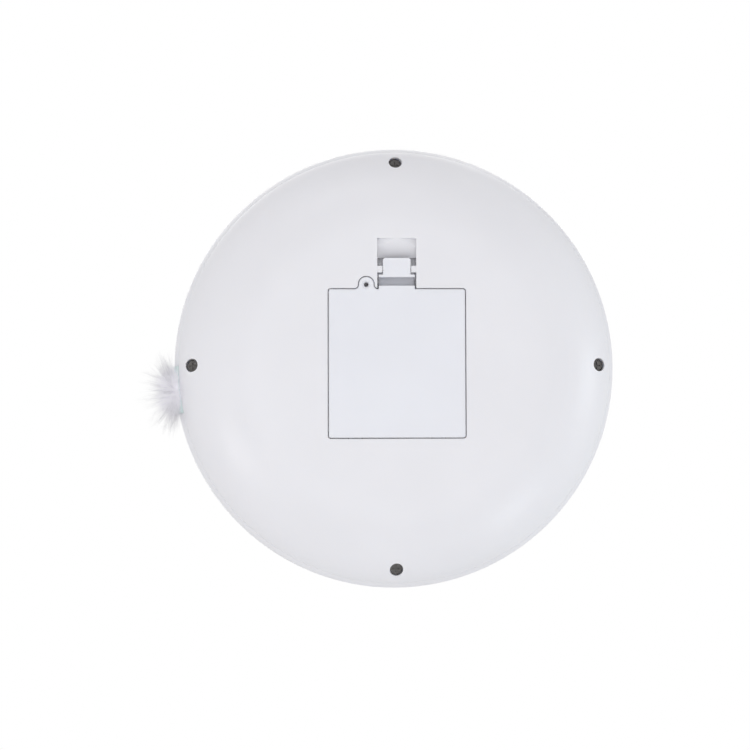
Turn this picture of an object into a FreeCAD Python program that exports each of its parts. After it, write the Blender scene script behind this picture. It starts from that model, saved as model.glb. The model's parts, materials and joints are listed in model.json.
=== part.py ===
import FreeCAD, Part
import math
import os

import Sketcher
from FreeCAD import Placement, Rotation, Vector

# Automatic cat laser toy. Millimetres, +Z up, the origin on the flat base under the middle of the disc.
# The plume leaves the rim on the +X side, the laser window looks towards -Y.

SIZES = [
    ("wall", 2.2, "wall of both shells"),
    ("footMargin", 5.85, "flat of the base beyond the finger scoop"),
    ("bowlRun", 39.0, "parting seam beyond the flat of the base"),
    ("seamDrop", 6.5, "parting seam below the middle of the plume cup"),
    ("flareOut", 3.0, "widest part beyond the seam"),
    ("flareRise", 12.0, "widest part above the seam"),
    ("rollRadius", 16.0, "roll from the side into the top"),
    ("crownSlope", 14.0, "slope of the top where the roll ends, degrees"),
    ("edgeBreak", 0.35, "small chamfer along the seam"),
    ("tongueHeight", 2.0, "locating tongue inside the seam"),
    ("tongueWall", 1.0, "thickness of the tongue"),
    ("fitGap", 0.3, "clearance between pieces that lift apart"),
    ("runGap", 0.06, "radial clearance of turning fits"),
    ("screwInset", 7.5, "housing screws inside the seam"),
    ("screwCount", 4.0, "housing screws"),
    ("bossRadius", 4.6, "lower screw boss"),
    ("upperBossRadius", 3.5, "upper screw boss"),
    ("counterboreRadius", 3.1, "screw recess in the base"),
    ("screwSeat", 4.0, "plastic under the head of a housing screw"),
    ("screwRadius", 1.5, "thread of a housing screw"),
    ("screwLength", 14.0, "length of a housing screw under its head"),
    ("screwHeadRadius", 2.75, "head of a housing screw"),
    ("screwHeadHeight", 2.2, "head of a housing screw"),
    ("threadGap", 0.04, "gap round a thread in plastic"),
    ("cellRadius", 7.2, "radius of a cell"),
    ("cellLength", 49.2, "cell without its nub"),
    ("nubRadius", 2.7, "nub of a cell"),
    ("nubLength", 1.0, "nub of a cell"),
    ("cellPitch", 14.8, "distance between cells"),
    ("springRoom", 8.0, "spring between cell and contact"),
    ("springRadius", 3.0, "mean radius of a battery spring"),
    ("springWire", 0.35, "wire radius of a battery spring"),
    ("contactThickness", 0.4, "contact plates"),
    ("contactSide", 10.0, "width and height of a contact"),
    ("bayMargin", 0.8, "play across all the cells"),
    ("bayWall", 1.8, "walls of the battery bay"),
    ("cellRibHeight", 2.2, "ribs between the cells"),
    ("cellRibWall", 1.2, "ribs between the cells"),
    ("doorThickness", 1.85, "battery door"),
    ("doorInset", 0.15, "door above the base plane"),
    ("doorGap", 0.5, "gap round the door"),
    ("doorCorner", 1.0, "corner radius of the door"),
    ("rebateSide", 2.0, "ledge beside the bay"),
    ("rebateEnd", 4.25, "ledge at the ends of the bay"),
    ("rebateDepth", 2.4, "height of the ledge frame"),
    ("earX", 13.9, "middle of the screw ear"),
    ("earReach", 2.25, "screw ear beyond the edge of the door"),
    ("earRadius", 3.35, "screw ear"),
    ("earBlend", 2.0, "fillet at the root of the ear"),
    ("earHole", 1.1, "hole of the screw ear"),
    ("earSink", 2.3, "countersink of the screw ear"),
    ("earBossHeight", 6.5, "boss above the screw ear"),
    ("hookX", 19.0, "door hooks, distance from the middle"),
    ("hookWidth", 6.0, "door hooks"),
    ("hookReach", 2.2, "door hooks beyond the door"),
    ("hookThickness", 1.2, "door hooks"),
    ("pocketHalf", 8.9, "half the width of the latch pocket"),
    ("bandHalf", 8.2, "half the width of the latch band"),
    ("tabHalf", 6.25, "half the width of the pull tab"),
    ("tabThickness", 1.5, "pull tab"),
    ("tabLength", 8.7, "pull tab beyond the band"),
    ("latchWall", 1.1, "wall of the latch band"),
    ("latchBend", 2.0, "inside radius of the latch bend"),
    ("latchRise", 3.9, "straight legs of the latch"),
    ("rampDepth", 5.0, "depth of the finger scoop at the tab"),
    ("rampLength", 8.6, "length of the finger scoop"),
    ("scoopSide", 2.2, "depth of the finger scoop along its sides"),
    ("pocketWall", 1.8, "wall round the latch pocket"),
    ("catchWidth", 2.35, "catches beside the tab"),
    ("catchLength", 3.0, "catches beside the tab"),
    ("catchHeight", 1.6, "catches beside the tab"),
    ("leadRoom", 6.7, "drive frame above the roof of the bay"),
    ("frameThickness", 2.4, "drive frame"),
    ("postRadius", 3.5, "posts under the drive frame"),
    ("smallScrewRadius", 1.3, "screws of the drive frame"),
    ("smallScrewLength", 9.0, "screws of the drive frame"),
    ("smallHeadRadius", 2.4, "screws of the drive frame"),
    ("smallHeadHeight", 1.8, "screws of the drive frame"),
    ("motorRadius", 8.0, "motor cans"),
    ("motorHeight", 20.0, "motor cans"),
    ("motorNose", 2.5, "nose of a motor"),
    ("motorNoseHeight", 1.6, "nose of a motor"),
    ("shaftRadius", 1.0, "motor shafts"),
    ("shaftDepth", 14.0, "motor shaft inside the can"),
    ("motorScrewOffset", 5.6, "motor screws from the shaft"),
    ("motorScrewRadius", 0.85, "motor screws"),
    ("motorScrewLength", 5.0, "motor screws"),
    ("motorHeadRadius", 1.5, "motor screws"),
    ("motorHeadHeight", 1.1, "motor screws"),
    ("gearModule", 1.0, "all gears"),
    ("gearFace", 3.2, "face width of the first gear stage"),
    ("gearRise", 1.6, "gears above the drive frame"),
    ("turretTeeth", 72.0, "turret gear"),
    ("pinionTeeth", 12.0, "pinions"),
    ("reductionTeeth", 30.0, "large wheel of the reduction gear"),
    ("sectorTeeth", 40.0, "teeth of a full sector wheel"),
    ("sectorHalfAngle", 27.0, "half the sector, degrees"),
    ("stageGap", 0.4, "between the two gear stages"),
    ("plumeAngle", -6.0, "direction of the plume, degrees"),
    ("stageRoom", 3.0, "reduction gear beside the turret gear"),
    ("armPinRadius", 1.5, "arm pivot pin"),
    ("armHubRadius", 4.2, "hub of the arm"),
    ("armWidth", 5.0, "bar of the arm"),
    ("armFace", 4.0, "height of the sector"),
    ("clipThickness", 0.8, "clips on the pins"),
    ("clipReach", 1.6, "clips beyond their pins"),
    ("motorBearing", -110.0, "plume motor seen from the reduction gear, degrees"),
    ("cupRise", 0.9, "middle of the plume cup above the sector"),
    ("cupRadius", 3.1, "plume cup"),
    ("cupInset", 5.0, "inner end of the plume cup inside the seam"),
    ("cupLength", 9.0, "length of the plume cup"),
    ("cupBore", 2.3, "socket of the plume cup"),
    ("cupDepth", 5.0, "socket of the plume cup"),
    ("plumeOut", 19.0, "end of the plume beyond the disc"),
    ("rootOut", 2.4, "where the plume fans out, beyond the disc"),
    ("notchHalf", 11.2, "half the width of the exit notch"),
    ("notchRise", 11.8, "height of the exit notch"),
    ("slotHalf", 8.6, "half the width of the grommet slot"),
    ("slotFoot", 2.6, "grommet slot above the seam"),
    ("slotRise", 7.8, "height of the grommet slot"),
    ("grommetProud", 0.25, "grommet outside the shell"),
    ("grommetFlange", 1.0, "flange inside the shell"),
    ("grommetLip", 1.2, "flange beyond the notch"),
    ("laserPostRadius", 7.0, "post round the laser"),
    ("laserRadius", 4.5, "laser module"),
    ("laserSink", 1.0, "laser module below the top of its post"),
    ("laserLength", 21.0, "laser module"),
    ("laserDuct", 3.0, "duct for the laser leads"),
    ("lensRadius", 3.2, "laser lens"),
    ("lensThickness", 1.0, "laser lens"),
    ("thrustRing", 1.0, "ring under the thrust washer"),
    ("thrustRadius", 10.0, "thrust washer"),
    ("hubWall", 2.4, "tube of the turret gear"),
    ("hubCollar", 3.0, "collar of the turret tube"),
    ("wellRadius", 34.5, "well in the top"),
    ("wellDepth", 7.374, "floor of the well below the top"),
    ("wellHole", 10.6, "hole in the floor of the well"),
    ("turretGap", 1.0, "running gap round the turret"),
    ("turretHead", 11.5, "turret shoulder above the tilt axis"),
    ("turretShoulder", 6.0, "shoulder radius of the turret"),
    ("turretCrown", 1.6, "rise of the turret top"),
    ("turretWall", 1.8, "wall of the turret cover"),
    ("basePlate", 2.0, "plate under the turret cover"),
    ("socketHeight", 5.5, "socket on the turret tube"),
    ("windowDrop", 7.0, "turret window below the tilt axis"),
    ("windowRise", 4.5, "turret window above the tilt axis"),
    ("windowAngle", 56.0, "width of the turret window, degrees"),
    ("mirrorRoom", 6.8, "tilt axis above the socket of the turret base"),
    ("mirrorHalf", 6.5, "half the side of the mirror"),
    ("mirrorThickness", 1.0, "mirror"),
    ("cradleHalf", 7.8, "half the side of the cradle"),
    ("cradleThickness", 1.6, "cradle"),
    ("trunnionRadius", 1.5, "trunnions of the cradle"),
    ("uprightX", 9.6, "inner face of the uprights"),
    ("uprightWall", 2.4, "uprights of the turret base"),
    ("uprightHalf", 3.6, "half the depth of the uprights"),
    ("leverHalf", 1.6, "half the width of the tilt lever"),
    ("leverWall", 2.0, "tilt lever"),
    ("leverProud", 3.6, "tilt lever above the turret"),
    ("leverSlot", 7.0, "half the length of the lever slot"),
    ("boardY", 62.0, "middle of the main board"),
    ("boardLength", 50.0, "main board"),
    ("boardWidth", 24.0, "main board"),
    ("boardThickness", 1.6, "main board"),
    ("boardDrop", 9.0, "main board below the guide collar"),
    ("boardPostX", 20.5, "posts of the main board"),
    ("boardPostRadius", 3.0, "posts of the main board"),
    ("boardScrewRadius", 1.0, "screws of the main board"),
    ("boardScrewLength", 6.0, "screws of the main board"),
    ("boardHeadRadius", 1.9, "screws of the main board"),
    ("boardHeadHeight", 1.4, "screws of the main board"),
    ("switchSide", 6.2, "tact switch"),
    ("switchHeight", 3.5, "tact switch"),
    ("plungerRadius", 1.7, "switch plunger"),
    ("plungerRise", 1.3, "switch plunger above the switch"),
    ("buttonRadius", 6.0, "mode button"),
    ("buttonProud", 1.4, "mode button above the top"),
    ("buttonFlange", 1.7, "flange of the mode button"),
    ("buttonTravel", 0.8, "travel of the mode button"),
    ("collarWall", 1.8, "guide collar of the button"),
    ("collarDrop", 6.888, "underside of the guide collar below the top"),
    ("ledX", 12.5, "status light beside the button"),
    ("pipeRadius", 1.5, "light pipe"),
    ("ledHeight", 1.3, "status light"),
    ("chipX", -11.0, "control chip"),
    ("leadRadius", 0.6, "internal leads"),
    ("leadDrop", 2.4, "leads below the drive frame"),
    ("leadBend", 3.2, "bend radius of the leads"),
    ("leadHole", 1.0, "holes of the frame round the leads"),
    ("terminalHeight", 7.0, "terminals of a motor"),
    ("terminalReach", 1.0, "terminals beyond the can"),
    ("terminalPitch", 4.0, "leads of a motor, side by side"),
    ("tailLength", 1.2, "contact tails outside the bay"),
    ("tailHalf", 1.5, "half the width of a contact tail"),
    ("tailRise", 0.4, "half the height of a contact tail"),
    ("looseGap", 0.2, "room round shafts, screws and tails that pass through"),
    ("over", 1.0, "how far a cutting tool passes the face that it cuts"),
    ("crossReach", 0.62, "arm of a cross recess, share of the head radius"),
    ("crossHalf", 0.13, "half the width of a cross recess, share of the head radius"),
    ("crossDepth", 0.6, "depth of a cross recess, share of the head height"),
    ("catchInset", 0.3, "catches above the base plane"),
    ("catchBack", 1.0, "catches beyond the latch band"),
    ("ribEnd", 8.0, "cell ribs end before the contacts"),
    ("pipeWall", 1.6, "boss round the light pipe"),
    ("grommetSweep", 40.0, "sector that the grommet is turned over, degrees"),
    ("grommetGap", 0.12, "gap round the grommet"),
    ("grommetSeat", 0.05, "gap under the grommet"),
    ("deckBoss", 4.0, "bosses under the drive frame"),
    ("pinWall", 2.0, "wall round the pins of the drive frame"),
    ("pinDepth", 3.0, "pins below the drive frame"),
    ("toothTip", 0.75, "tooth above the pitch circle, in modules"),
    ("toothFoot", 1.05, "tooth below the pitch circle, in modules"),
    ("toothPlay", 0.1, "play of a tooth on the pitch circle"),
    ("pressureAngle", 20.0, "flank angle of the teeth, degrees"),
    ("collarRise", 1.2, "thickness of the collar of the turret tube"),
    ("hubFoot", 2.0, "wider foot of the turret tube"),
    ("hubFootRise", 3.0, "foot of the turret tube above the gear"),
    ("lightenRadius", 6.2, "round windows of the turret gear"),
    ("lightenCircle", 23.5, "round windows of the turret gear, from the middle"),
    ("turretScrewRadius", 0.7, "turret screws"),
    ("turretScrewLength", 6.0, "turret screws"),
    ("turretHeadRadius", 1.1, "turret screws"),
    ("turretHeadHeight", 0.9, "turret screws"),
    ("tubeReach", 3.5, "turret tube above the turret base"),
    ("motorCant", -25.0, "direction of the plume motor's screws, degrees"),
    ("terminalSide", 1.8, "terminal block beyond the leads"),
    ("terminalSeat", 1.5, "terminal block inside the can"),
    ("terminalHalf", 2.0, "half the height of the terminal block"),
    ("sectorReach", 3.0, "wedge that the sector is cut from, beyond the teeth"),
    ("armTail", 12.0, "rib of the arm on the sector"),
    ("spigotGap", 0.9, "spigot of the arm inside the cup's bore"),
    ("spigotLength", 3.0, "spigot of the arm"),
    ("stemGap", 0.05, "gap round the stem of the plume"),
    ("plumeHalf", 16.5, "half the width of the plume"),
    ("plumeRise", 12.0, "half the height of the plume"),
    ("plumeOpen", 0.14, "start of the plume's swell, share of a half wave"),
    ("plumeClose", 0.78, "run of the plume's swell, share of a half wave"),
    ("plumeFall", 1.6, "how far the plume's end hangs"),
    ("trunnionPlay", 0.25, "play of the cradle between the uprights"),
    ("uprightTop", 3.2, "uprights above the tilt axis"),
    ("leverY", 0.4, "front of the tilt lever"),
    ("leverPlay", 0.5, "play of the lever in its slot"),
    ("slotFront", 5.0, "front end of the lever slot"),
    ("lipReach", 1.5, "lip inside the cover that rests on the base"),
    ("rimFrame", 1.0, "frame of the window inside the cover"),
    ("rimLow", 1.2, "frame of the window below the pane"),
    ("rimAngle", 5.0, "frame of the window beyond the pane, degrees"),
    ("paneAngle", 0.15, "play of the pane at its ends, degrees"),
    ("bond", 0.2, "overlap of pieces of one solid"),
    ("mouthDepth", 6.0, "mouth of the laser module"),
    ("lensLedge", 0.5, "ledge under the lens"),
    ("lensSink", 0.6, "lens below the rim of its module"),
    ("chipHalf", 3.0, "half the width of the control chip"),
    ("chipFront", 7.0, "control chip towards the middle"),
    ("chipBack", 1.0, "control chip away from the middle"),
    ("chipHeight", 1.5, "control chip"),
    ("capacitorRadius", 2.5, "capacitor"),
    ("capacitorHeight", 5.5, "capacitor"),
    ("capacitorY", 7.0, "capacitor from the middle of the board"),
    ("plungerDepth", 0.7, "switch plunger inside the switch"),
    ("plungerPlay", 0.1, "play round the switch plunger"),
    ("ledHalfX", 1.6, "half the width of the status light"),
    ("ledHalfY", 1.4, "half the depth of the status light"),
    ("stemRadius", 2.0, "stem under the mode button"),
    ("flangeThickness", 1.2, "flange of the mode button"),
    ("pipeSink", 0.3, "light pipe below the top"),
    ("deckEdge", 12.0, "drive frame beyond the turret motor"),
    ("deckBeyond", 6.0, "drive frame beyond the arm pivot"),
    ("deckFront", 10.0, "drive frame beyond the turret gear"),
    ("deckBack", 4.0, "drive frame beyond the main board"),
    ("deckNarrow", 32.0, "half the width of the back of the frame"),
    ("deckStep", 40.0, "front corner on the plume's side"),
    ("deckNose", 30.0, "half the width of the frame at the arm pivot"),
    ("deckFlank", 16.0, "front corner beside the turret motor"),
    ("deckRear", 20.0, "back corner beside the turret motor"),
    ("postInset", 6.0, "frame posts from the ends of the frame"),
    ("postX", 26.0, "frame posts on the turret motor's side"),
    ("postBefore", 14.0, "frame posts before the arm pivot"),
    ("postFront", 26.0, "front post on the plume's side"),
    ("postBack", 24.0, "back post on the plume's side"),
]

# Red then black lead of each pair: run out from its terminal, lane from the middle of the board,
# place along the board
LANES = {
    "laser": ((0.0, -10.0, 1.2), (0.0, -10.0, -1.2)),
    "battery": ((5.5, -6.0, -8.0), (20.5, -2.0, -12.0)),
    "turret": ((6.0, 2.0, -4.0), (9.0, 4.4, 4.0)),
    "plume": ((5.0, -5.0, 9.0), (8.0, -1.5, 14.0)),
}

doc = FreeCAD.newDocument("cat_laser_toy")
sheet = doc.addObject("Spreadsheet::Sheet", "Sizes")
for row, (alias, number, note) in enumerate(SIZES, 1):
    sheet.set(f"A{row}", alias)
    sheet.set(f"B{row}", str(number))
    sheet.set(f"C{row}", note)
    sheet.setAlias(f"B{row}", alias)
doc.recompute()
derived = doc.addObject("App::VarSet", "Derived")


class Size:
    """A number together with the expression that binds it to the sheet."""

    def __init__(self, number, text):
        self.number = number
        self.text = text

    def __float__(self):
        return self.number

    def __add__(self, other):
        return combine(self, "+", other)

    def __radd__(self, other):
        return combine(other, "+", self)

    def __sub__(self, other):
        return combine(self, "-", other)

    def __rsub__(self, other):
        return combine(other, "-", self)

    def __mul__(self, other):
        return combine(self, "*", other)

    def __rmul__(self, other):
        return combine(other, "*", self)

    def __truediv__(self, other):
        return combine(self, "/", other)

    def __neg__(self):
        return combine(0.0, "-", self)


def size(value):
    if isinstance(value, Size):
        return value
    return Size(float(value), f"({float(value)!r})")


def combine(left, sign, right):
    left = size(left)
    right = size(right)
    a = left.number
    b = right.number
    number = {"+": a + b, "-": a - b, "*": a * b, "/": a / b if b else 0.0}[sign]
    return Size(number, f"({left.text}{sign}{right.text})")


def root(value):
    return Size(math.sqrt(value.number), f"sqrt({value.text})")


def sine(angle):
    angle = size(angle)
    return Size(math.sin(math.radians(angle.number)), f"sin({angle.text})")


def cosine(angle):
    angle = size(angle)
    return Size(math.cos(math.radians(angle.number)), f"cos({angle.text})")


def derive(name, value):
    """Keeps a worked-out size under its own name, so that expressions stay short."""
    derived.addProperty("App::PropertyFloat", name)
    derived.setExpression(name, value.text)
    return Size(value.number, f"Derived.{name}")


class Sheet:
    """Each alias of the sheet as a Size."""


s = Sheet()
for alias, number, note in SIZES:
    setattr(s, alias, Size(float(sheet.get(alias)), f"Sizes.{alias}"))

nodes = []


def bind(item, **values):
    for key, value in values.items():
        setattr(item, key, size(value).number)
        item.setExpression(key, size(value).text)
    return item


def place(item, x=0.0, y=0.0, z=0.0, turn=0.0):
    """Turns about the Z axis of the whole part by turn, after the move to x, y, z."""
    x = size(x)
    y = size(y)
    z = size(z)
    turn = size(turn)
    if turn.number:
        x, y = x * cosine(turn) - y * sine(turn), x * sine(turn) + y * cosine(turn)
    item.Placement = Placement(
        Vector(x.number, y.number, z.number), Rotation(Vector(0, 0, 1), turn.number)
    )
    item.setExpression("Placement.Base.x", x.text)
    item.setExpression("Placement.Base.y", y.text)
    item.setExpression("Placement.Base.z", z.text)
    if turn.number:
        item.setExpression("Placement.Rotation.Angle", turn.text)
    return item


def rod(name, radius, low, high, x=0.0, y=0.0, turn=0.0):
    item = doc.addObject("Part::Cylinder", name)
    bind(item, Radius=radius, Height=size(high) - low)
    return place(item, x, y, low, turn)


def block(name, x0, x1, y0, y1, z0, z1, turn=0.0):
    item = doc.addObject("Part::Box", name)
    bind(item, Length=size(x1) - x0, Width=size(y1) - y0, Height=size(z1) - z0)
    return place(item, x0, y0, z0, turn)


def sink(name, top, bottom, low, high, x=0.0, y=0.0):
    item = doc.addObject("Part::Cone", name)
    bind(item, Radius1=bottom, Radius2=top, Height=size(high) - low)
    return place(item, x, y, low)


def fuse(name, items):
    item = doc.addObject("Part::MultiFuse", name)
    item.Shapes = items
    return item


def cut(name, base, tools):
    item = doc.addObject("Part::Cut", name)
    item.Base = base
    item.Tool = tools[0] if len(tools) == 1 else fuse(name + "_tools", tools)
    return item


def common(name, base, tool):
    item = doc.addObject("Part::Common", name)
    item.Base = base
    item.Tool = tool
    return item


def group(name, items):
    item = doc.addObject("Part::Compound", name)
    item.Links = items
    return item


def node(item, label):
    item.Label = label
    nodes.append((label, item))
    return item


def solid(name, shape, x=0.0, y=0.0, turn=0.0):
    """A shape made in code, moved to x, y and turned about the Z axis of the whole part."""
    own = shape.Placement
    item = doc.addObject("Part::Feature", name)
    item.Shape = shape
    spin = Rotation(Vector(0, 0, 1), float(turn))
    item.Placement = Placement(spin.multVec(Vector(float(x), float(y), 0)), spin).multiply(own)
    return item


def outline(body, name, plane, steps, offset=0.0):
    """Closes steps into a sketch: (x, y) after a line, (x, y, cx, cy, radius, sense) after an arc."""
    sketch = body.newObject("Sketcher::SketchObject", name)
    flat = [item for item in body.Origin.OriginFeatures if item.Role == plane][0]
    sketch.AttachmentSupport = [(flat, "")]
    sketch.MapMode = "FlatFace"
    offset = size(offset)
    sketch.AttachmentOffset = Placement(Vector(0, 0, offset.number), Rotation())
    sketch.setExpression("AttachmentOffset.Base.z", offset.text)
    corners = [(size(step[0]), size(step[1])) for step in steps]
    count = len(steps)
    for index, step in enumerate(steps):
        ax, ay = (corner.number for corner in corners[index - 1])
        bx, by = (corner.number for corner in corners[index])
        if len(step) == 2:
            sketch.addGeometry(Part.LineSegment(Vector(ax, ay, 0), Vector(bx, by, 0)), False)
            continue
        cx, cy, radius, sense = (float(value) for value in step[2:])
        start = math.atan2(ay - cy, ax - cx)
        end = math.atan2(by - cy, bx - cx)
        if sense < 0:
            start, end = end, start
        if end <= start:
            end += 2 * math.pi
        circle = Part.Circle(Vector(cx, cy, 0), Vector(0, 0, 1), radius)
        sketch.addGeometry(Part.ArcOfCircle(circle, start, end), False)
    for index, step in enumerate(steps):
        following = (index + 1) % count
        end_point = 1 if len(step) > 2 and step[5] < 0 else 2
        start_point = 2 if len(steps[following]) > 2 and steps[following][5] < 0 else 1
        sketch.addConstraint(
            Sketcher.Constraint("Coincident", index, end_point, following, start_point)
        )
        for kind, value in zip(("DistanceX", "DistanceY"), corners[index]):
            key = sketch.addConstraint(
                Sketcher.Constraint(kind, -1, 1, index, end_point, value.number)
            )
            sketch.setExpression(f"Constraints[{key}]", value.text)
        if len(step) > 2:
            key = sketch.addConstraint(Sketcher.Constraint("Radius", index, float(step[4])))
            sketch.setExpression(f"Constraints[{key}]", size(step[4]).text)
    return sketch


def turned(name, steps, angle=None):
    """A profile in radius and height, revolved about the vertical axis."""
    body = doc.addObject("PartDesign::Body", name)
    sketch = outline(body, name + "_profile", "XZ_Plane", steps)
    feature = body.newObject("PartDesign::Revolution", name + "_turn")
    feature.Profile = sketch
    feature.ReferenceAxis = (sketch, ["V_Axis"])
    if angle is None:
        feature.Angle = 360.0
    else:
        feature.Midplane = True
        bind(feature, Angle=angle)
    body.Tip = feature
    return body


def plate(name, steps, low, high):
    """An outline in X and Y, raised from low to high."""
    body = doc.addObject("PartDesign::Body", name)
    sketch = outline(body, name + "_outline", "XY_Plane", steps, low)
    feature = body.newObject("PartDesign::Pad", name + "_pad")
    feature.Profile = sketch
    bind(feature, Length=size(high) - low)
    body.Tip = feature
    return body


def slab(name, steps, half):
    """An outline in Y and Z, as deep as half on each side of the middle plane."""
    body = doc.addObject("PartDesign::Body", name)
    sketch = outline(body, name + "_outline", "YZ_Plane", steps)
    feature = body.newObject("PartDesign::Pad", name + "_pad")
    feature.Profile = sketch
    feature.Midplane = True
    bind(feature, Length=half * 2)
    body.Tip = feature
    return body


def wedge(name, steps, near, far):
    """An outline in X and Z, carried along Y from near to far."""
    body = doc.addObject("PartDesign::Body", name)
    sketch = outline(body, name + "_outline", "XZ_Plane", steps, -size(far))
    feature = body.newObject("PartDesign::Pad", name + "_pad")
    feature.Profile = sketch
    bind(feature, Length=size(far) - near)
    body.Tip = feature
    return body


def frame_corners(half_x, half_y, corner):
    """A rectangle with rounded corners, as steps of an outline, anticlockwise."""
    steps = []
    for x, y in ((1, 1), (-1, 1), (-1, -1), (1, -1)):
        cx = (half_x - corner) * x
        cy = (half_y - corner) * y
        first = (cx + corner * x, cy) if x * y > 0 else (cx, cy + corner * y)
        last = (cx, cy + corner * y) if x * y > 0 else (cx + corner * x, cy)
        steps.append(first)
        steps.append((*last, cx, cy, corner, 1))
    return steps


def screw(name, radius, length, head_radius, head_height, seat, x, y, up=True):
    """A pan head screw with a cross recess. Its head sits on seat and its shank points away from it."""
    way = 1.0 if up else -1.0
    head_end = size(seat) + head_height * way
    tip = size(seat) - length * way
    low, high = (seat, head_end) if up else (head_end, seat)
    head = rod(name + "_head", head_radius, low, high, x, y)
    low, high = (tip, seat) if up else (seat, tip)
    shank = rod(name + "_shank", radius, low, high, x, y)
    arm = head_radius * s.crossReach
    thin = head_radius * s.crossHalf
    depth = head_height * s.crossDepth
    low, high = (head_end - depth, head_end + s.over) if up else (head_end - s.over, head_end + depth)
    x = size(x)
    y = size(y)
    slots = [
        block(name + "_slot_a", x - arm, x + arm, y - thin, y + thin, low, high),
        block(name + "_slot_b", x - thin, x + thin, y - arm, y + arm, low, high),
    ]
    return cut(name, fuse(name + "_blank", [head, shank]), slots)


# The stack from the cells outwards and upwards, then the shell curves round it

bayHalfX = derive(
    "bayHalfX",
    (s.cellLength + s.nubLength + s.springRoom + s.contactThickness * 2) / 2,
)
bayHalfY = derive("bayHalfY", (s.cellPitch * 4 + s.bayMargin) / 2)
doorTop = derive("doorTop", s.doorInset + s.doorThickness)
cellZ = derive("cellZ", doorTop + s.fitGap + s.cellRadius)
bayRoof = derive("bayRoof", cellZ + s.cellRadius + s.fitGap * 2)
openX = derive("openX", bayHalfX + s.rebateSide)
openY = derive("openY", bayHalfY + s.rebateEnd)
doorX = derive("doorX", openX - s.doorGap)
doorY = derive("doorY", openY - s.doorGap)
earY = derive("earY", doorY + s.earReach)
latchOut = derive("latchOut", openY + s.latchWall + s.latchBend * 2 + s.latchWall)
tabEnd = derive("tabEnd", latchOut - s.latchWall + s.tabLength)
pocketEnd = derive("pocketEnd", tabEnd + s.doorGap)
bendZ = derive("bendZ", s.doorInset + s.latchRise)
pocketTop = derive("pocketTop", bendZ + s.latchBend + s.latchWall + s.fitGap * 2)
footRadius = derive("footRadius", pocketEnd + s.rampLength + s.footMargin)
seamRadius = derive("seamRadius", footRadius + s.bowlRun)
beltRadius = derive("beltRadius", seamRadius + s.flareOut)
screwCircle = derive("screwCircle", seamRadius - s.screwInset)

turretRadius = derive("turretRadius", s.turretTeeth * s.gearModule / 2)
pinionRadius = derive("pinionRadius", s.pinionTeeth * s.gearModule / 2)
reductionRadius = derive("reductionRadius", s.reductionTeeth * s.gearModule / 2)
sectorRadius = derive("sectorRadius", s.sectorTeeth * s.gearModule / 2)
reductionX = derive("reductionX", turretRadius + reductionRadius + s.stageRoom)
armPivot = derive("armPivot", reductionX + pinionRadius + sectorRadius)
cupStart = derive("cupStart", seamRadius - s.cupInset)
plumeRoot = derive("plumeRoot", beltRadius + s.rootOut)
plumeReach = derive("plumeReach", beltRadius + s.plumeOut)

frameHeight = derive("frameHeight", bayRoof + s.leadRoom)
leadLevel = derive("leadLevel", frameHeight - s.leadDrop)
deckZ = derive("deckZ", frameHeight + s.frameThickness)
gearLow = derive("gearLow", deckZ + s.gearRise)
gearHigh = derive("gearHigh", gearLow + s.gearFace)
sectorLow = derive("sectorLow", gearHigh + s.stageGap)
sectorHigh = derive("sectorHigh", sectorLow + s.armFace)
cupHeight = derive("cupHeight", sectorHigh + s.cupRise)
seamHeight = derive("seamHeight", cupHeight - s.seamDrop)
headSeat = derive("headSeat", seamHeight - s.screwSeat)
notchTop = derive("notchTop", seamHeight + s.notchRise)
slotLow = derive("slotLow", seamHeight + s.slotFoot)
slotHigh = derive("slotHigh", slotLow + s.slotRise)
beltHeight = derive("beltHeight", seamHeight + s.flareRise)

bowlRadius = derive(
    "bowlRadius", (s.bowlRun * s.bowlRun + seamHeight * seamHeight) / (seamHeight * 2)
)
flareRadius = derive(
    "flareRadius", (s.flareOut * s.flareOut + s.flareRise * s.flareRise) / (s.flareOut * 2)
)
flareX = derive("flareX", beltRadius - flareRadius)
rollX = derive("rollX", beltRadius - s.rollRadius)
crownRadius = derive(
    "crownRadius", (rollX + s.rollRadius * sine(s.crownSlope)) / sine(s.crownSlope)
)
crownZ = derive(
    "crownZ", beltHeight + (s.rollRadius - crownRadius) * cosine(s.crownSlope)
)


def crown(radius, depth=0.0):
    """Height of the top at a distance from the axis, on the skin or depth below it."""
    swing = crownRadius - depth
    return crownZ + root(swing * swing - size(radius) * radius)


def bowl_inside(height):
    """Inside radius of the lower shell at a height."""
    swing = bowlRadius - s.wall
    return footRadius + root(swing * swing - (bowlRadius - height) * (bowlRadius - height))


def flare(height, depth=0.0):
    """Radius of the upper shell at a height below its belt."""
    swing = flareRadius - depth
    return flareX + root(swing * swing - (beltHeight - height) * (beltHeight - height))


wellFloor = derive("wellFloor", crown(s.wellRadius) - s.wellDepth)
laserLow = derive("laserLow", wellFloor - s.laserSink - s.laserLength)
hubInner = derive("hubInner", s.laserPostRadius + s.runGap)
hubOuter = derive("hubOuter", hubInner + s.hubWall)
turretFloor = derive("turretFloor", wellFloor + s.wall + s.turretGap)
tubeTop = derive("tubeTop", turretFloor + s.basePlate + s.tubeReach)
turretScrewSeat = derive("turretScrewSeat", turretFloor + s.socketHeight + s.over)
mirrorHeight = derive("mirrorHeight", turretScrewSeat + s.mirrorRoom)
turretTop = derive("turretTop", mirrorHeight + s.turretHead)
windowLow = derive("windowLow", mirrorHeight - s.windowDrop)
windowHigh = derive("windowHigh", mirrorHeight + s.windowRise)
collarLow = derive("collarLow", crown(s.boardY) - s.collarDrop)
boardHeight = derive("boardHeight", collarLow - s.boardDrop)


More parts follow.
